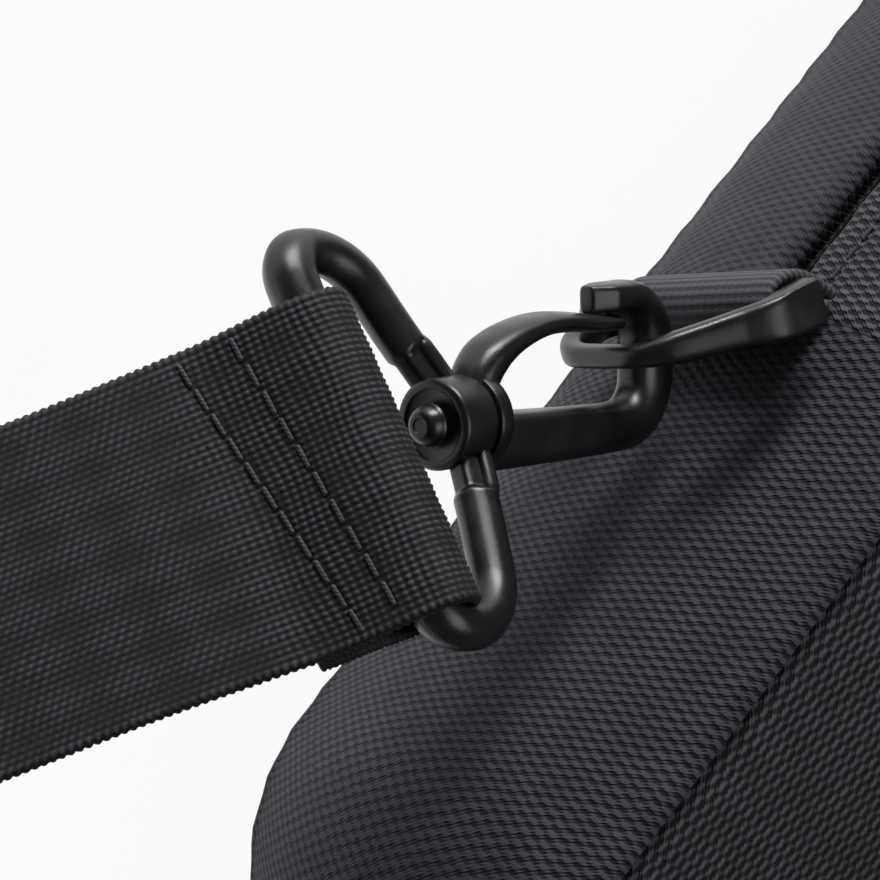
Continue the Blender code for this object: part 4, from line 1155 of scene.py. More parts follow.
    def bar_turn(self, d: float, first: float, outward: float, count: int) -> tuple[Array, Array, Array]:
        """The half turn round a bar, from the side first to the other."""
        here, ahead, wide = self.frames(np.array([d]))
        t = half_turn(count)[:, None]
        out = np.cross(wide, ahead) * first * np.cos(t) + ahead * outward * np.sin(t)
        return here + out * self.round_bar, out, np.broadcast_to(wide, out.shape)

    def weave(self, u: Array, v: Array, from_fold: Array) -> Array:
        """Height of the weave, 0 to 1: separate nubs near the fold, flatter slanting ribs away from it.

        Args:
            u: distance along the webbing in millimetres.
            v: distance across it in millimetres.
            from_fold: distance from the fold in millimetres.
        """
        drift = 0.26 * np.sin(u / 5.3 + 1.0) * np.sin(v / 3.1 + 2.0) + 0.15 * np.sin(u / 1.9 + v / 2.3)
        along = 0.5 + 0.5 * np.cos(2 * np.pi * (u / self.rib_mm + drift))
        across = 0.5 + 0.5 * np.cos(2 * np.pi * v / self.nub_mm)
        lean = 0.5 + 0.5 * np.cos(2 * np.pi * (u / self.rib_mm + 0.5 * v / self.nub_mm + drift))
        flat = smoothstep((from_fold - 13) / 14)
        nubs = (along * across) ** 0.55
        ribs = (0.25 + 0.75 * lean) * (0.35 + 0.65 * across ** 0.6) * 0.8
        patchy = 0.74 + 0.26 * np.sin(u / 2.7 + 0.6 * v) * np.sin(v / 1.7 - 0.4 * u)
        return (nubs * (1 - flat) + ribs * flat) * patchy

    def stitch_rows(self) -> list[tuple[Array, Array]]:
        """Each row of stitches as (distance from the fold, distance across) of its stitches, in mm."""
        rows, pitch = [], 3.4
        for (t0, w0), (t1, w1) in (((13.2, -16.3), (9.0, 15.2)), ((19.2, -15.8), (13.0, 16.4))):
            count = int(round(math.hypot(t1 - t0, w1 - w0) / pitch)) + 1
            s = np.linspace(0, 1, count)
            rows.append((t0 + (t1 - t0) * s, w0 + (w1 - w0) * s))
        return rows

    def sewn_end(self, finish: Material) -> Object:
        """The finely woven end: the face layer, the fold round the bar and the sewn under layer."""
        far, near = np.arange(self.fine_long, 0, -0.25 * MM), np.arange(0.0, self.sewn, 0.4 * MM)
        fold_count, face_count, back_count = 52, 196, 30
        main = self.layer(far, -1)
        fold = self.bar_turn(0.0, -1, -1, fold_count)
        under = self.layer(near, 1)
        under = (under[0] + under[2] * 0.9 * MM * smoothstep(near / self.sewn)[:, None], *under[1:])
        path, out, wide = (np.concatenate(parts) for parts in zip(main, fold, under))
        along = arc_length(path) / MM
        fold_mm = self.round_bar / MM
        round_mm = np.abs(np.linspace(-fold_mm, fold_mm, fold_count + 2)[1:-1])
        from_fold = np.concatenate([far / MM + fold_mm, round_mm, near / MM + fold_mm])
        rim = 0.5 * MM
        turn, flat = half_turn(5), self.half_wide - rim
        reach = np.concatenate([np.linspace(-flat, flat, face_count), flat + rim * np.sin(turn),
                                np.linspace(1, -1, back_count) * flat, -flat - rim * np.sin(turn)])
        thick = np.concatenate([np.ones(face_count), np.cos(turn), -np.ones(back_count), -np.cos(turn)])
        face = (thick > 0)[None]
        v = reach / MM
        u, v_all, fold_all = np.broadcast_arrays(along[:, None], v[None], from_fold[:, None])
        height = self.weave(u, v_all, fold_all)
        row_dip = sum(np.exp(-((fold_all - np.interp(v, w, t)) / 0.55) ** 2) * (np.abs(v) < 17)
                      for t, w in self.stitch_rows())
        lift = self.relief * (height - 0.6) * np.where(face, 1.0, 0.4) - 0.16 * MM * row_dip * face
        on_edge = np.abs(v) > self.half_wide / MM - 0.55
        teeth = 0.30 * MM * np.abs(np.cos(np.pi * u / self.rib_mm)) * on_edge
        spread = 1 + (self.slack_wide / self.half_wide - 1) * smoothstep((from_fold - 8) / 32)
        sections = np.stack([thick * self.thick / 2 * 0.9 + np.sign(thick) * lift,
                             (reach + np.sign(reach) * teeth) * spread[:, None]], -1)
        points, _ = sweep(path, out, wide, sections)
        # the under layer is cut off slanting, as the rows of stitches are
        _, ahead, _ = self.frames(near)
        cut = self.slant * (near / self.sewn)[:, None] * (reach / self.half_wide + 1)[None] / 2
        points[-len(near):] -= ahead[:, None] * cut[..., None]
        surface = Surface().tube((points, uv_map(along, np.append(v, v[0]))))
        obj = surface.piece("strap_sewn_end", [finish], "strap_webbing", "webbing", "bag", 180.0)
        # the weave attribute drives the cloth's colour; lowered by 0.4 more along the stitch rows, it puts
        # painted shade in their grooves
        weave = obj.data.attributes.new("weave", "FLOAT", "POINT")
        weave.data.foreach_set("value", (height - 0.4 * row_dip * face).ravel().astype(np.float32))
        return obj

    def threads(self, finish: Material) -> Object:
        """The two slanting rows of tone-on-tone stitches on the sewn end."""
        grids = []
        for from_fold, across in self.stitch_rows():
            d = np.maximum(from_fold * MM - self.round_bar, 0.2 * MM)
            centre, out, wide = self.layer(d, -1)
            _, ahead, _ = self.frames(d)
            spots = centre + wide * (across * MM)[:, None] + out * (self.thick / 2 - 0.10 * MM)
            row = unit(wide * (across[-1] - across[0]) + ahead * (from_fold[-1] - from_fold[0]))
            lean = unit(row + ahead * 0.06)
            grids += stitches(spots, lean, out, 3.0 * MM, 0.3 * MM)
        return thread_piece("strap_stitches", grids, finish, "strap_webbing", "webbing", "bag")

    def run(self, finish: Material) -> Object:
        """The rest of the strap, as a doubled ribbon that turns round ring b's bar."""
        total = self.total()
        _, lead, turn, straight = self.legs()
        tail = lead + turn + straight + self.corner_b - self.tail_end
        main = self.layer(np.linspace(self.fine_long - MM, total, 330), -1)
        bend = self.bar_turn(total, -1, 1, 16)
        back = self.layer(np.linspace(total, tail, 180), 1)
        path, out, wide = (np.concatenate(parts) for parts in zip(main, bend, back))
        surface = Surface().tube(ribbon(path, out, wide, self.thick / 2, self.slack_wide, 12))
        return surface.piece("strap_run", [finish], "strap_webbing", "webbing", "bag")

    def build(self, finishes: Finishes) -> None:
        """Builds the sewn end, its stitches and the rest of the strap."""
        self.sewn_end(finishes[Finish.WEBBING_RELIEF])
        self.threads(finishes[Finish.THREAD])
        self.run(finishes[Finish.WEBBING])


@dataclass
class Tab:
    """A webbing tab that holds a D-ring's bar; both its layers leave one seam."""

    suffix: str
    place: Array  # the D-ring's frame
    root: Array
    lead: Array
    thick: float = 1.5 * MM
    half_wide: float = 13.0 * MM
    bar: float = 2.03 * MM
    gap: float = 0.4 * MM
    clear: float = 0.3 * MM

    def build(self, finish: Material) -> Object:
        """The doubled band as one closed ribbon."""
        turn_r = self.bar + self.clear + self.thick / 2
        layer = (self.thick + self.gap) / 2
        inverse = np.linalg.inv(self.place)
        start, handle = placed(self.root, inverse), placed(self.root + self.lead, inverse)
        s = np.linspace(0, 1, 26)[:, None]
        base = (start * (1 - s) ** 2 + handle * (2 * s * (1 - s))) * (1, 1, 0)
        along = unit(np.gradient(base, axis=0))
        side = np.cross(Z_WAY, along)
        off = layer + (turn_r - layer) * smoothstep((s - 0.1) / 0.9)
        t = half_turn(20)[:, None]
        arc_out = np.cos(t) * side[-1] + np.sin(t) * np.cross(side[-1], Z_WAY)
        path = np.concatenate([base + side * off, base[-1] + arc_out * turn_r, (base - side * off)[::-1]])
        out = np.concatenate([side, arc_out, -side[::-1]])
        surface = Surface().tube(ribbon(path, out, Z_WAY, self.thick / 2, self.half_wide, 14), self.place)
        return surface.piece(f"tab_web_{self.suffix}", [finish], f"tab_{self.suffix}", "webbing", "bag")


# ---------------------------------------------------------------- the padded bag


@dataclass
class BagForm:
    """The bag's plan, its seams' heights and the gusset's swell."""

    length: float = 470 * MM
    width: float = 245 * MM
    thick: float = 70 * MM
    corner: float = 28 * MM
    bulge: float = 8 * MM
    wall: float = 4 * MM
    spine_strip: float = 100 * MM
    zip_height: float = 35 * MM
    below_coil: float = 0.8 * MM  # the groove's edges, from the coil's middle
    above_coil: float = 3.0 * MM
    hem: float = 5.5 * MM

    @property
    def fold_y(self) -> float:
        """Where the front panel folds and the zip ends."""
        return self.width / 2 - self.spine_strip

    def swell(self, z: Array | float) -> Array | float:
        """How far the gusset stands out at a height."""
        return self.bulge * (1 - (2 * z / self.thick - 1) ** 2)

    def side_route(self, spine: bool, gap: float, step: float = 2.2 * MM) -> tuple[Array, Array]:
        """Half of the panels' outline in plan, starting at the +X end.

        Args:
            spine: True for the part round the spine, False for the part round the opening.
            gap: how far the route stops short of the cross seams.
            step: distance between stations.

        Returns:
            (m, 2) stations and their outward normals.
        """
        hx, hy, r = self.length / 2, self.width / 2, self.corner
        sign = 1.0 if spine else -1.0
        end = self.fold_y + sign * gap
        centre_y = sign * (hy - r)
        turn = np.linspace(0, np.pi / 2, 24)
        first = np.stack([hx - r + r * np.cos(turn), centre_y + sign * r * np.sin(turn)], -1)
        rough = np.concatenate([[[hx, end]], first, first[::-1] * (-1, 1), [[-hx, end]]])
        at = arc_length(rough)
        points = columns_at(np.linspace(0, at[-1], int(at[-1] / step)), at, rough)
        inner_x = np.clip(points[:, 0], r - hx, hx - r)
        inner_y = sign * np.minimum(sign * points[:, 1], hy - r)
        return points, unit(points - np.stack([inner_x, inner_y], -1))


@dataclass
class GussetStrip:
    """A padded strip of the gusset between two heights, its long edges rolled into the seams."""

    name: str
    form: BagForm
    spine: bool
    low: float
    high: float
    node: str
    body: str
    roll: float = 2.6 * MM
    hem: float = 0.0  # height of the needle line above the low edge, or 0

    def section(self) -> tuple[Array, Array]:
        """(offset, height) points of the section, anticlockwise, and which belong to the lining."""
        r, wall, swell = self.roll, self.form.wall, self.form.swell
        z = np.linspace(self.low + r, self.high - r, 60 if self.hem else 34)
        t = np.linspace(0, np.pi / 2, 7)[1:]
        outer = np.stack([swell(z), z], -1)
        top = np.stack([swell(z[-1]) - r * (1 - np.cos(t)), z[-1] + r * np.sin(t)], -1)
        bottom = np.stack([swell(z[0]) - r * (1 - np.cos(t)), z[0] - r * np.sin(t)], -1)[::-1]
        inner_z = z[::-3]
        inner = np.stack([swell(inner_z) - wall, inner_z], -1)
        points = np.concatenate([bottom, outer, top, inner])
        return points, np.arange(len(points)) >= len(bottom) + len(outer) + len(top) - 1

    def build(self, cloth: Material, lining: Material) -> Object:
        """The strip as a closed padded band; each end is rolled into its cross seam."""
        route, normal = self.form.side_route(self.spine, 0.04 * MM)
        section, inside = self.section()
        at = arc_length(route)
        near = np.minimum(at, at[-1] - at)
        rolled = 1.8 * MM  # each end's rolled part
        ends = np.array([0, 0.2, 0.45, 0.8, 1.2, rolled / MM]) * MM
        fine = np.concatenate([ends, at[near > 3 * MM], at[-1] - ends[::-1]])
        plan, side = columns_at(fine, at, route), unit(columns_at(fine, at, normal))
        near = np.minimum(fine, fine[-1] - fine)
        fall = 1 - np.clip(near / rolled, 0, 1)
        sunk = (1 - np.sqrt(1 - 0.97 * fall ** 2)) * self.form.wall * 0.05
        middle = self.form.swell(section[:, 1]) - self.form.wall / 2
        offset = section[None, :, 0] - np.sign(section[:, 0] - middle)[None] * sunk[:, None]
        offset = offset + self.ripple(fine, section[:, 1], inside)
        points = np.concatenate([plan[:, None] + side[:, None] * offset[..., None],
                                 np.broadcast_to(section[None, :, 1:], (*offset.shape, 1))], -1)
        round_mm = (arc_length(np.concatenate([section, section[:1]])) + self.low) / MM
        surface = Surface().tube((points, uv_map(fine / MM, round_mm)), slot=inside.astype(int))
        return surface.piece(self.name, [cloth, lining], self.node, "bag_fabric", self.body, 60.0, PADDING)

    def ripple(self, along: Array, height: Array, inside: Array) -> Array:
        """Soft unevenness of the padding, in metres: slow waves and puckers towards the seams."""
        u, v = along[:, None] / MM, height[None] / MM
        slow = 0.8 * np.sin(u / 23 + 0.6) * np.sin(v / 17 + 1) + 0.5 * np.sin(u / 13 + v / 17)
        low, high = self.low / MM, self.high / MM
        edge = np.exp(-((v - low) / 5) ** 2) + np.exp(-((high - v) / 5) ** 2)
        pucker = 0.16 * np.sin(u * 2 * np.pi / PUCKER_MM + 0.8 * np.sin(u / 6)) * edge
        body = smoothstep((v - low) / 10) * smoothstep((high - v) / 10)
        line = 0.35 * np.exp(-((v - low - self.hem / MM) / 0.8) ** 2) if self.hem else 0.0
        return np.where(inside[None], 0.0, (slow * body * 0.8 + pucker - line) * MM)


@dataclass
class PanelSlab:
    """A flat padded panel with rolled edges: all or part of the bag's rounded rectangle."""

    name: str
    form: BagForm
    y_low: float
    y_high: float
    z_low: float
    z_high: float
    node: str
    body: str
    outside_up: bool = True
    inset: float = 1.9 * MM
    roll: float = 4.0 * MM
    calm_edge: float = 18 * MM  # the cloth lies still this near to the seams

    def half_length(self, y: Array) -> Array:
        """Half the panel's length at each Y, less near the rounded corners."""
        f = self.form
        past = np.clip(np.abs(y) - (f.width / 2 - f.corner), 0, f.corner - self.inset - 0.02 * MM)
        r = f.corner - self.inset
        return f.length / 2 - self.inset - (r - np.sqrt(np.maximum(r * r - past ** 2, 1e-12)))

    def build(self, cloth: Material, lining: Material) -> Object:
        """The slab as one closed grid: its two faces meet in the rolled edge."""
        x, y, gap = rolled_sheet(self.y_low, self.y_high, self.half_length, self.roll, (8, 150, 90))
        lens = rolled_over(gap, self.roll)
        middle, thick = (self.z_low + self.z_high) / 2, (self.z_high - self.z_low) / 2
        u, v = x / MM, y / MM
        calm = smoothstep(gap / self.calm_edge)
        wave = (1.5 * np.sin(u / 31 + 1) * np.sin(v / 19) + 0.8 * np.sin(u / 17 - v / 15)) * MM * calm
        if not self.outside_up:
            wave = -np.abs(wave)  # the underside lies flat on what it stands on
        pucker = 0.14 * MM * np.sin(2 * np.pi * (u + v) / PUCKER_MM) * np.exp(-(gap / (5 * MM)) ** 2)
        uneven = np.where(gap < 0.01 * self.roll, 0, (wave * 0.6 + pucker) * lens)
        out = 1.0 if self.outside_up else -1.0
        grid = two_faces(x, y, middle + out * (thick * lens + uneven), middle - out * thick * lens)
        inner = np.arange(grid[0].shape[1]) >= x.shape[1]
        return Surface().tube(grid, slot=inner.astype(int)).piece(
            self.name, [cloth, lining], self.node, "bag_fabric", self.body, 60.0, PADDING)


@dataclass
class ZipHalf:
    """One half of the main zip: a nylon coil on the edge of its tape."""

    name: str
    form: BagForm
    upper: bool
    body: str
    recess: float = 2.2 * MM

    def build(self, coil: Material, tape: Material) -> Object:
        """The coil wound along the zip's route, and the tape behind it."""
        form = self.form
        route, normal = form.side_route(False, 1.0 * MM)
        at = arc_length(route)
        s = np.linspace(0, at[-1], int(at[-1] / COIL_PITCH) * 9)
        side, phase = unit(columns_at(s, at, normal)), 2 * np.pi * s / COIL_PITCH
        sign, swell = 1.0 if self.upper else -1.0, form.swell(form.zip_height)
        reach = swell - self.recess + 0.7 * MM * np.cos(phase)
        height = form.zip_height + sign * (0.55 * MM + COIL_RISE * np.sin(phase))
        path = raised(columns_at(s, at, route) + side * reach[:, None], height)
        surface = Surface().tube(sweep(path, raised(side), Z_WAY, superellipse(5, 2.0) * COIL_WIRE))
        z0, z1 = form.zip_height + sign * 0.25 * MM, form.zip_height + sign * 7.5 * MM
        back, front = swell - form.wall, swell - form.wall + 0.45 * MM
        corners = np.array([[back, z0], [front, z0], [front, z1], [back, z1]])
        band = raised(route)[:, None] + raised(normal)[:, None] * corners[:, :1] + Z_WAY * corners[:, 1:]
        surface.tube((band, uv_map(at / MM, np.array([0, 0.45, 7.7, 8.1, 15.4]))), slot=1)
        node = "zip_coil_upper" if self.upper else "zip_coil_lower"
        return surface.piece(self.name, [coil, tape], node, "zip_coil", self.body, 35.0)


@dataclass
class Slider:
    """A moulded zip slider with its bail and a hanging pull."""

    name: str
    pull_name: str
    place: Array  # X along the zip, Z out of the cloth
    pull_place: Array  # X along the bail, -Y along the tongue
    body: str
    pull_body: str
    long: float = 12 * MM
    wide: float = 9 * MM
    plate: float = 1.8 * MM
    bail_r: float = 0.9 * MM
    bail_rise: float = 2.9 * MM
    bail_span: float = 7.4 * MM
    clear: float = 0.3 * MM
    pull_long: float = 24 * MM
    pull_thick: float = 1.6 * MM
    eye_r: float = 2.2 * MM
    eye_long: float = 4.6 * MM

    def body_piece(self, finish: Material) -> Object:
        """The plate, the rib in the groove and the bail."""
        surface = Surface()
        base, span, bend = self.clear + self.plate, self.bail_span / 2, 1.6 * MM
        surface.tube(pillow(self.long / 2, self.wide / 2, 3 * MM, self.clear, base, 0.7 * MM), self.place)
        rib = pillow(self.long / 2 - MM, 0.9 * MM, 0.4 * MM, -0.9 * MM, self.clear + 0.5 * MM, 0.2 * MM,
                     12, 6)
        surface.tube(rib, self.place)
        top = base + self.bail_rise
        left = np.array([[-span, base - MM], [-span, base + 0.6 * MM]])
        over = arc((-span + bend, top - bend), bend, 180, 90, 7)
        path = np.concatenate([left, over, over[::-1] * (-1, 1), left[::-1] * (-1, 1)])
        size = np.full(50, self.bail_r)
        bail = planar_bar(resample(path, 50), size * 0.95, size * 1.1, 2.4, 18)
        spin = np.eye(4)
        spin[:3, :3] = [[1, 0, 0], [0, 0, -1], [0, 1, 0]]
        surface.tube(bail, self.place @ spin)
        return surface.piece(self.name + "_shape", [finish], self.name, "zip_metal", self.body)

    def pull_piece(self, finish: Material) -> Object:
        """The pull: an eye on the bail, a neck and a waisted tongue with grip ribs."""
        surface = Surface()
        r_in, r_out, half = self.bail_r + self.clear, self.eye_r, self.eye_long / 2
        ring = np.array([(-half, r_in), (-half, r_out - 0.25 * MM), (-half + 0.25 * MM, r_out),
                         (half - 0.25 * MM, r_out), (half, r_out - 0.25 * MM), (half, r_in)])
        surface.grid(placed(turned(ring, 28), self.pull_place), wrap_u=True)
        y = np.array([1.4, 3.0, 5.0, 7.5, 10.0, 14.0, 18.0, 21.5, 23.2, 23.9, 24.0]) * -MM
        w = np.array([1.9, 1.75, 1.7, 2.3, 2.9, 2.95, 2.8, 2.5, 1.8, 0.8, 0.2]) * MM
        grip = np.linspace(0, 1, 90)
        at = np.linspace(y[0], y[-1], 90)
        half_w = np.interp(-at, -y, w)
        rib = 0.16 * MM * np.cos(2 * np.pi * at / (1.6 * MM)) * (smoothstep((grip - 0.42) / 0.05)
                                                                 - smoothstep((grip - 0.86) / 0.05))
        half_t = self.pull_thick / 2 * (1 - 0.35 * smoothstep((grip - 0.9) / 0.1)) + rib * 0.6
        stations = np.stack([0 * at, at], -1)
        surface.tube(planar_bar(stations, half_w, half_t, 4.0, 24), self.pull_place)
        return surface.piece(self.pull_name + "_shape", [finish], self.pull_name, "pull_plastic",
                             self.pull_body)

    def build(self, metal: Material, plastic: Material) -> None:
        """Builds the slider and its pull."""
        self.body_piece(metal)
        self.pull_piece(plastic)


@dataclass
class FrontPocket:
    """The flat pocket on the lid: two cloth layers with a zip between them near the spine side."""

    form: BagForm
    long: float = 330 * MM
    wide: float = 105 * MM
    thick: float = 4.5 * MM
    centre_y: float = -48 * MM
    corner: float = 14 * MM
    zip_inset: float = 16 * MM
    clear: float = 0.3 * MM
    groove: float = 2.4 * MM

    def build(self, finishes: Finishes) -> None:
        """The pocket's cloth in two parts, and the coil in the groove between them."""
        base = self.form.thick + self.clear
        zip_y = self.centre_y + self.wide / 2 - self.zip_inset
        parts = [("pocket_flap", zip_y + self.groove / 2, self.centre_y + self.wide / 2, 6 * MM),
                 ("pocket_front", self.centre_y - self.wide / 2, zip_y - self.groove / 2, self.corner)]
        for name, low, high, corner in parts:
            points, uv = pillow(self.long / 2, (high - low) / 2, corner, base, base + self.thick, 1.8 * MM,
                                120, 40)
            inner = np.arange(points.shape[1]) >= points.shape[1] // 2
            surface = Surface().tube((points + Y_WAY * (low + high) / 2, uv), slot=inner.astype(int))
            surface.piece(name, [finishes[Finish.OPEN_KNIT], finishes[Finish.LINING]], "front_pocket",
                          "bag_fabric", "lid", 60.0)
        half = self.long / 2 - self.corner
        x = np.linspace(-half, half, int(2 * half / COIL_PITCH) * 9)
        phase = 2 * np.pi * x / COIL_PITCH
        surface = Surface()
        for side in (1, -1):
            path = np.stack([x, zip_y + side * (0.5 * MM + COIL_RISE * np.sin(phase)),
                             base + self.thick - 2.2 * MM + 0.6 * MM * np.cos(phase)], -1)
            surface.tube(sweep(path, Y_WAY, Z_WAY, superellipse(5, 2.0) * COIL_WIRE))
        tape, uv = pillow(self.long / 2 - 4 * MM, 4 * MM, MM, base + 0.4 * MM, base + 1.2 * MM, 0.3 * MM,
                          30, 6)
        surface.tube((tape + Y_WAY * zip_y, uv), slot=1)
        surface.piece("pocket_zip", [finishes[Finish.COIL], finishes[Finish.LINING]], "pocket_coil",
                      "zip_coil", "lid", 35.0)


@dataclass
class StickSleeve:
    """A flat lined pocket inside the bag, open towards +X, with a rolled hem."""

    number: int
    middle_y: float
    start: float = -182 * MM
    long: float = 330 * MM
    wide: float = 100 * MM
    high: float = 20 * MM
    wall: float = 1.6 * MM
    base: float = 4.3 * MM
    corner: float = 8 * MM
    least: float = 0.4 * MM  # the corner's radius where the sleeve is drawn in most
    sag: float = 0.35 * MM

    def ring(self, inset: Array) -> Array:
        """Rounded rectangles, (m, n, 2), one for each inset."""
        t = np.linspace(0, 2 * np.pi, 64, endpoint=False) + np.pi / 64
        c, s = np.cos(t), np.sin(t)
        r = self.corner - inset[:, None]
        grow, less = np.maximum(r, self.least), np.minimum(r - self.least, 0)
        y = np.sign(c) * (self.wide / 2 - self.corner + less) + grow * c
        z = np.sign(s) * (self.high / 2 - self.corner + less * 0.2) + grow * s
        return np.stack([y, z], -1)

    def build(self, finish: Material) -> Object:
        """The sleeve's outer and inner skins, joined at the hem."""
        end, w = self.start + self.long, self.wall
        x = np.array([self.start, self.start, self.start + 0.4 * MM, self.start + 1.2 * MM])
        inset = np.array([6.0, 1.4, 0.4, 0.0]) * MM
        body_x = np.linspace(self.start + 6 * MM, end - 14 * MM, 40)
        hem_x = end - np.array([12, 11.6, 11, 0.6, 0, 0.6]) * MM
        hem_in = np.array([0.0, 0.25, 0.0, 0.0, 0.8, 1.6]) * MM
        back_x = np.array([end - 20 * MM, self.start + 4 * MM, self.start + w, self.start + w])
        back_in = np.array([w, w, w + 0.6 * MM, 6 * MM])
        xs = np.concatenate([x, body_x, hem_x, back_x])
        insets = np.concatenate([inset, np.zeros(40), hem_in, back_in])
        ring = self.ring(insets)
        middle = xs[:, None] * X_WAY + (0, self.middle_y, self.base + self.high / 2)
        points, uv = sweep(middle, Y_WAY, Z_WAY, ring)
        flat = (np.abs(ring[..., 0]) < 40 * MM) & (insets < w)[:, None]
        points[..., 2] -= np.where(flat, self.sag * np.abs(np.sin(xs / (37 * MM)))[:, None], 0.0)
        surface = Surface().tube((points, uv_map(xs / MM, uv[..., 1])))
        node = f"stick_sleeve_{self.number}"
        return surface.piece(f"sleeve_{self.number}", [finish], node, "lining", "bag", 50.0)


@dataclass
class GrabHandle:
    """The rolled webbing handle on the spine and the two sewn loops that hold it."""

    axis: Array
    radius: float = 6 * MM
    span: float = 144 * MM
    arch: float = 34 * MM
    lead: float = 14 * MM
    droop: float = math.radians(50)
    anchor_thick: float = 2 * MM
    anchor_long: float = 34 * MM
    anchor_wide: float = 25 * MM
    loop: float = 1.8 * MM
    loop_long: float = 11 * MM
    clear: float = 0.3 * MM

    def build(self, finishes: Finishes) -> None:
        """Builds the handle and its anchors."""
        half = self.span / 2
        x = np.concatenate([[-half, -half + 0.4 * MM], np.linspace(-half + MM, half - MM, 120),
                            [half - 0.4 * MM, half]])
        rise = self.arch * smoothstep((half - self.lead - np.abs(x)) / (0.6 * half))
        out = np.array([0, math.cos(self.droop), -math.sin(self.droop)])
        wide = np.array([0, math.sin(self.droop), math.cos(self.droop)])
        path = np.column_stack([x, 0 * x, 0 * x]) + rise[:, None] * out
        along = unit(np.gradient(path, axis=0))
        side = unit(np.cross(wide, along))
        near = np.minimum(x + half, half - x)
        size = self.radius * np.sqrt(np.clip(1 - 0.6 * (1 - np.clip(near / (1.2 * MM), 0, 1)) ** 2, 0.1, 1))
        t = np.linspace(0, 2 * np.pi, 40, endpoint=False)
        lap = 1 - 0.07 * np.exp(-((t - 3.9) / 0.12) ** 2)
        section = np.stack([np.cos(t) * lap, np.sin(t) * lap], -1)[None] * size[:, None, None]
        surface = Surface().tube(sweep(path + self.axis, side, wide, section))
        surface.piece("handle_roll", [finishes[Finish.WEBBING]], "carry_handle", "webbing", "handle")
        low = -(self.radius + self.clear + self.anchor_thick)
        for number, sign in ((1, 1), (2, -1)):
            inner = half - self.lead + self.clear
            middle = sign * (inner + self.anchor_long / 2)
            stand = frame_matrix(self.axis + (middle, low, 0), X_WAY, -Z_WAY)
            half_long, half_wide = self.anchor_long / 2, self.anchor_wide / 2
            patch = pillow(half_long, half_wide, 1.5 * MM, 0.0, self.anchor_thick, 0.8 * MM)
            surface = Surface().tube(patch, stand)
            r_in, r_out = self.radius + self.clear, self.radius + self.clear + self.loop
            x0, x1 = inner + self.clear, inner + self.loop_long
            ring = np.array([(x0, r_in + 0.3 * MM), (x0, r_out - 0.5 * MM), (x0 + 0.5 * MM, r_out),
                             (x1 - 0.5 * MM, r_out), (x1, r_out - 0.5 * MM), (x1, r_in + 0.3 * MM),
                             (x1 - 0.3 * MM, r_in), (x0 + 0.3 * MM, r_in)]) * (sign, 1)
            uv = uv_map(np.linspace(0, 24, 9), np.linspace(0, 45, 45))
            surface.grid(turned(ring, 44) + self.axis, uv, wrap_u=True)
            node = f"handle_anchor_{number}"
            surface.piece(f"anchor_{number}", [finishes[Finish.WEBBING]], node, "webbing", "bag")
            self.box_stitch(number, stand, finishes[Finish.THREAD])

    def box_stitch(self, number: int, stand: Array, finish: Material) -> None:
        """A sewn box with a cross on the outer part of an anchor's patch."""
        hx, hy = 8.5 * MM, 9.5 * MM
        shift = (6.0 if number == 1 else -6.0) * MM
        corners = np.array([[-hx, -hy], [hx, -hy], [hx, hy], [-hx, hy], [-hx, -hy], [hx, hy], [hx, -hy],
                            [-hx, hy]])
        spots, ways = [], []
        for a, b in zip(corners, corners[1:]):
            count = max(int(np.linalg.norm(b - a) / (3.0 * MM)), 1)
            s = (np.arange(count)[:, None] + 0.5) / count
            spots.append(a + (b - a) * s)
            ways.append(np.broadcast_to(unit(b - a), (count, 2)))
        flat, way = np.concatenate(spots), np.concatenate(ways)
        z = np.full((len(flat), 1), self.anchor_thick + 0.05 * MM)
        middle = placed(np.hstack([flat + (shift, 0), z]), stand)
        along = np.hstack([way, 0 * z]) @ stand[:3, :3].T
        out = np.broadcast_to(stand[:3, 2], middle.shape)
        grids = stitches(middle, along, out, 2.5 * MM, 0.3 * MM, 6)
        name, node = f"anchor_stitches_{number}", f"handle_anchor_{number}"
        thread_piece(name, grids, finish, node, "webbing", "bag")


# ---------------------------------------------------------------- the whole bag


def joint_axis(frame: dict[str, Any], name: str) -> tuple[Array, Array]:
    """A hinge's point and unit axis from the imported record."""
    found = next(j for j in frame["joints"] if j["name"] == name)
    return np.array(found["pos_m"], float), unit(np.array(found["axis"], float))


def hook_frame(frame: dict[str, Any], end: str) -> Array:
    """The swivel's frame: X along its axis from the boss, Y up to the gate."""
    boss, axis = joint_axis(frame, f"hook_{end}_swivel")
    _, flex = joint_axis(frame, f"gate_{end}_flex")
    return frame_matrix(boss, axis, np.cross(-flex, axis))


def box_middle(node: str) -> Array:
    """The middle of a node's box."""
    return np.mean(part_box(node), axis=0)


@dataclass
class TriGlide:
    """The strap's adjuster: two bars on the bag's side of the webbing and one on the other."""

    centre: Array
    half_long: float = 13 * MM
    room: float = 19.5 * MM
    rim: float = 3.6 * MM
    bar: float = 5 * MM
    deep: float = 2.1 * MM
    skin: float = 2.8 * MM

    def build(self, finish: Material) -> Object:
        """The five moulded bars as one piece."""
        reach = self.room + self.rim
        outer, end = self.deep + self.skin, self.half_long - self.bar / 2
        half_bar, half_rim = self.bar / 2, self.rim / 2
        blocks = [(end, 0, half_bar, reach, self.deep, outer), (-end, 0, half_bar, reach, self.deep, outer),
                  (0, 0, half_bar, reach, -outer, -self.deep),
                  (0, reach - half_rim, self.half_long, half_rim, -outer, outer),
                  (0, half_rim - reach, self.half_long, half_rim, -outer, outer)]
        surface = Surface()
        for x, y, half_x, half_y, low, high in blocks:
            stand = frame_matrix(self.centre + (x, 0, y), X_WAY, Z_WAY)
            surface.tube(pillow(half_x, half_y, 1.6 * MM, low, high, 0.8 * MM, 16, 16), stand)
        return surface.piece("glide_shape", [finish], "tri_glide", "acetal", "adjuster")


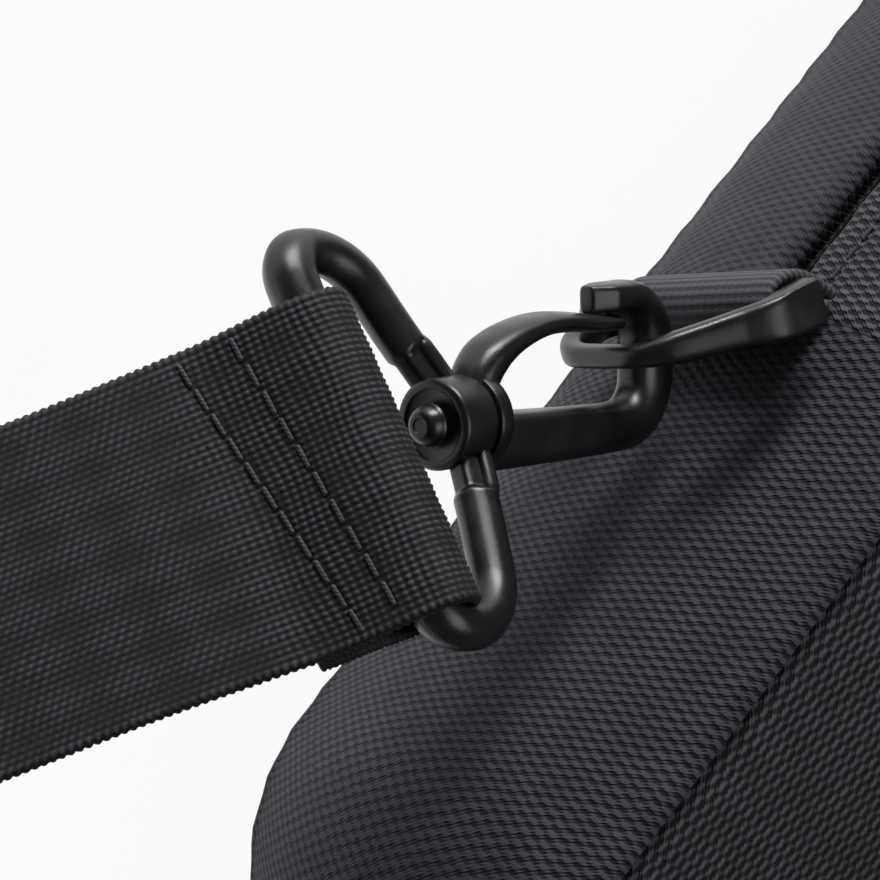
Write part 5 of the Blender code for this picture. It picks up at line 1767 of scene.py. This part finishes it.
def hem_thread(form: BagForm, height: float, finish: Material) -> None:
    """The row of stitches that holds the lid's hem along the zip."""
    route, normal = form.side_route(False, 3 * MM, 3.1 * MM)
    along, out = unit(raised(np.gradient(route, axis=0))), raised(normal)
    spots = raised(route, height) + out * (form.swell(height) - 0.32 * MM)
    grids = stitches(spots, along, out, 2.2 * MM, 0.26 * MM, 6)
    thread_piece("hem_thread", grids, finish, "lid_shell", "bag_fabric", "lid")


def fold_roll(form: BagForm, finish: Material) -> None:
    """The roll of cloth in the lid's fold: it fills the fold when the lid stands open."""
    radius, depth, before, end = 2.25 * MM, 1.6 * MM, 1.2 * MM, form.length / 2 - 3 * MM
    path = np.linspace(-end, end, 24)[:, None] * X_WAY + (0, form.fold_y - before, form.thick - depth)
    surface = Surface().tube(sweep(path, Y_WAY, Z_WAY, superellipse(16, 2.0) * radius))
    surface.piece("fold_roll", [finish], "back_shell", "bag_fabric", "bag")


def build_bag(form: BagForm, finishes: Finishes) -> None:
    """The padded panels, gusset strips and the main zip."""
    cloth, mesh, lining = finishes[Finish.KNIT], finishes[Finish.OPEN_KNIT], finishes[Finish.LINING]
    low, high = form.zip_height - form.below_coil, form.zip_height + form.above_coil
    top, wall, half = form.thick, form.wall, form.width / 2
    smooth = finishes[Finish.SMOOTH_KNIT]
    GussetStrip("gusset_lower", form, False, 0.0, low, "back_shell", "bag").build(smooth, lining)
    GussetStrip("gusset_spine", form, True, 0.0, top, "back_shell", "bag").build(cloth, lining)
    GussetStrip("gusset_upper", form, False, high, top, "lid_shell", "lid",
                hem=form.hem).build(mesh, lining)
    hem_thread(form, high + form.hem, finishes[Finish.THREAD])
    fold_roll(form, mesh)
    edge, gap = 1.9 * MM, 0.2 * MM
    PanelSlab("back_panel", form, -half + edge, half - edge, 0.0, wall, "back_shell", "bag",
              outside_up=False).build(cloth, lining)
    PanelSlab("spine_strip", form, form.fold_y + gap, half - edge, top - wall, top, "back_shell",
              "bag").build(mesh, lining)
    PanelSlab("lid_panel", form, -half + edge, form.fold_y - gap, top - wall, top, "lid_shell",
              "lid").build(mesh, lining)
    for name, upper, body in (("zip_lower", False, "bag"), ("zip_upper", True, "lid")):
        ZipHalf(name, form, upper, body).build(finishes[Finish.COIL], lining)


def build_sliders(frame: dict[str, Any], finishes: Finishes) -> None:
    """The two main sliders and the pocket's, with their pulls."""
    metal, plastic = finishes[Finish.ZINC], finishes[Finish.ACETAL]
    stand = 5.0 * MM  # from the pull's axis to the cloth
    for number in (1, 2):
        at, _ = joint_axis(frame, f"pull_{number}_swing")
        seat, hang = frame_matrix(at + Y_WAY * stand, X_WAY, Z_WAY), frame_matrix(at, X_WAY, Z_WAY)
        Slider(f"zip_slider_{number}", f"zip_pull_{number}", seat, hang, f"slider_{number}",
               f"pull_{number}").build(metal, plastic)
    at, _ = joint_axis(frame, "pocket_pull_swing")
    seat = frame_matrix(at - Z_WAY * stand, X_WAY, Y_WAY)
    lean = math.asin((stand - (Slider.pull_thick / 2 + Slider.clear)) / Slider.pull_long)
    hang = frame_matrix(at, X_WAY, Y_WAY * math.cos(lean) + Z_WAY * math.sin(lean))
    Slider("pocket_slider", "pocket_pull", seat, hang, "pocket_slider", "pocket_pull").build(metal, plastic)


def build_hardware(frame: dict[str, Any], form: BagForm, finishes: Finishes) -> Strap:
    """Both ends' swivel hooks, D-rings and tabs; returns the strap that they carry."""
    acetal, ribbed = finishes[Finish.ACETAL], finishes[Finish.TAB_WEBBING]
    clipped, free = hook_frame(frame, "a"), hook_frame(frame, "b")
    ring_dir = unit(np.array([-0.6528, 0.46952, 0.59448]))
    SwivelHook("a", clipped, ring_dir, "bag").build(acetal)
    SwivelHook("b", free, Z_WAY, "swivel_b").build(acetal)
    seam = form.length / 2 + form.bulge + 0.3 * MM
    root_y = form.fold_y + 1.8 * MM
    bar, bar_way = joint_axis(frame, "d_ring_a_turn")
    to_bow = placed(np.array([33.8, 4.5, -0.6]) * MM, clipped) - bar
    reach = to_bow - bar_way * (to_bow @ bar_way)
    place = frame_matrix(bar, reach, np.cross(bar_way, reach))
    DRing("a", place).build(acetal)
    root = np.array([seam, root_y, bar[2] + (bar[1] - root_y) * bar_way[1] / bar_way[2]])
    Tab("a", place, root, np.array([4.5, 0.6, 0]) * MM).build(ribbed)
    bar, _ = joint_axis(frame, "d_ring_b_turn")
    place = frame_matrix(bar, -X_WAY, -Y_WAY)
    DRing("b", place).build(acetal)
    Tab("b", place, np.array([-seam, bar[1], bar[2]]), X_WAY * -4.5 * MM).build(ribbed)
    return Strap(clipped[:3, 3], clipped[:3, 0], ring_dir)


def main() -> None:
    """Loads the frame, builds every piece and finishes the scene."""
    logging.basicConfig(level=logging.INFO)
    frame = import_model()
    finishes = make_finishes()
    form = BagForm()
    build_bag(form, finishes)
    build_sliders(frame, finishes)
    FrontPocket(form).build(finishes)
    for number, side in ((1, -1), (2, 1)):
        StickSleeve(number, side * 54 * MM).build(finishes[Finish.LINING])
    handle_at, _ = joint_axis(frame, "handle_swing")
    GrabHandle(handle_at).build(finishes)
    strap = build_hardware(frame, form, finishes)
    strap.build(finishes)
    TriGlide(box_middle("tri_glide")).build(finishes[Finish.ACETAL])
    Studio(boss=hook_frame(frame, "a")[:3, 3]).build()
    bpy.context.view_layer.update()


if __name__ == "__main__":
    main()
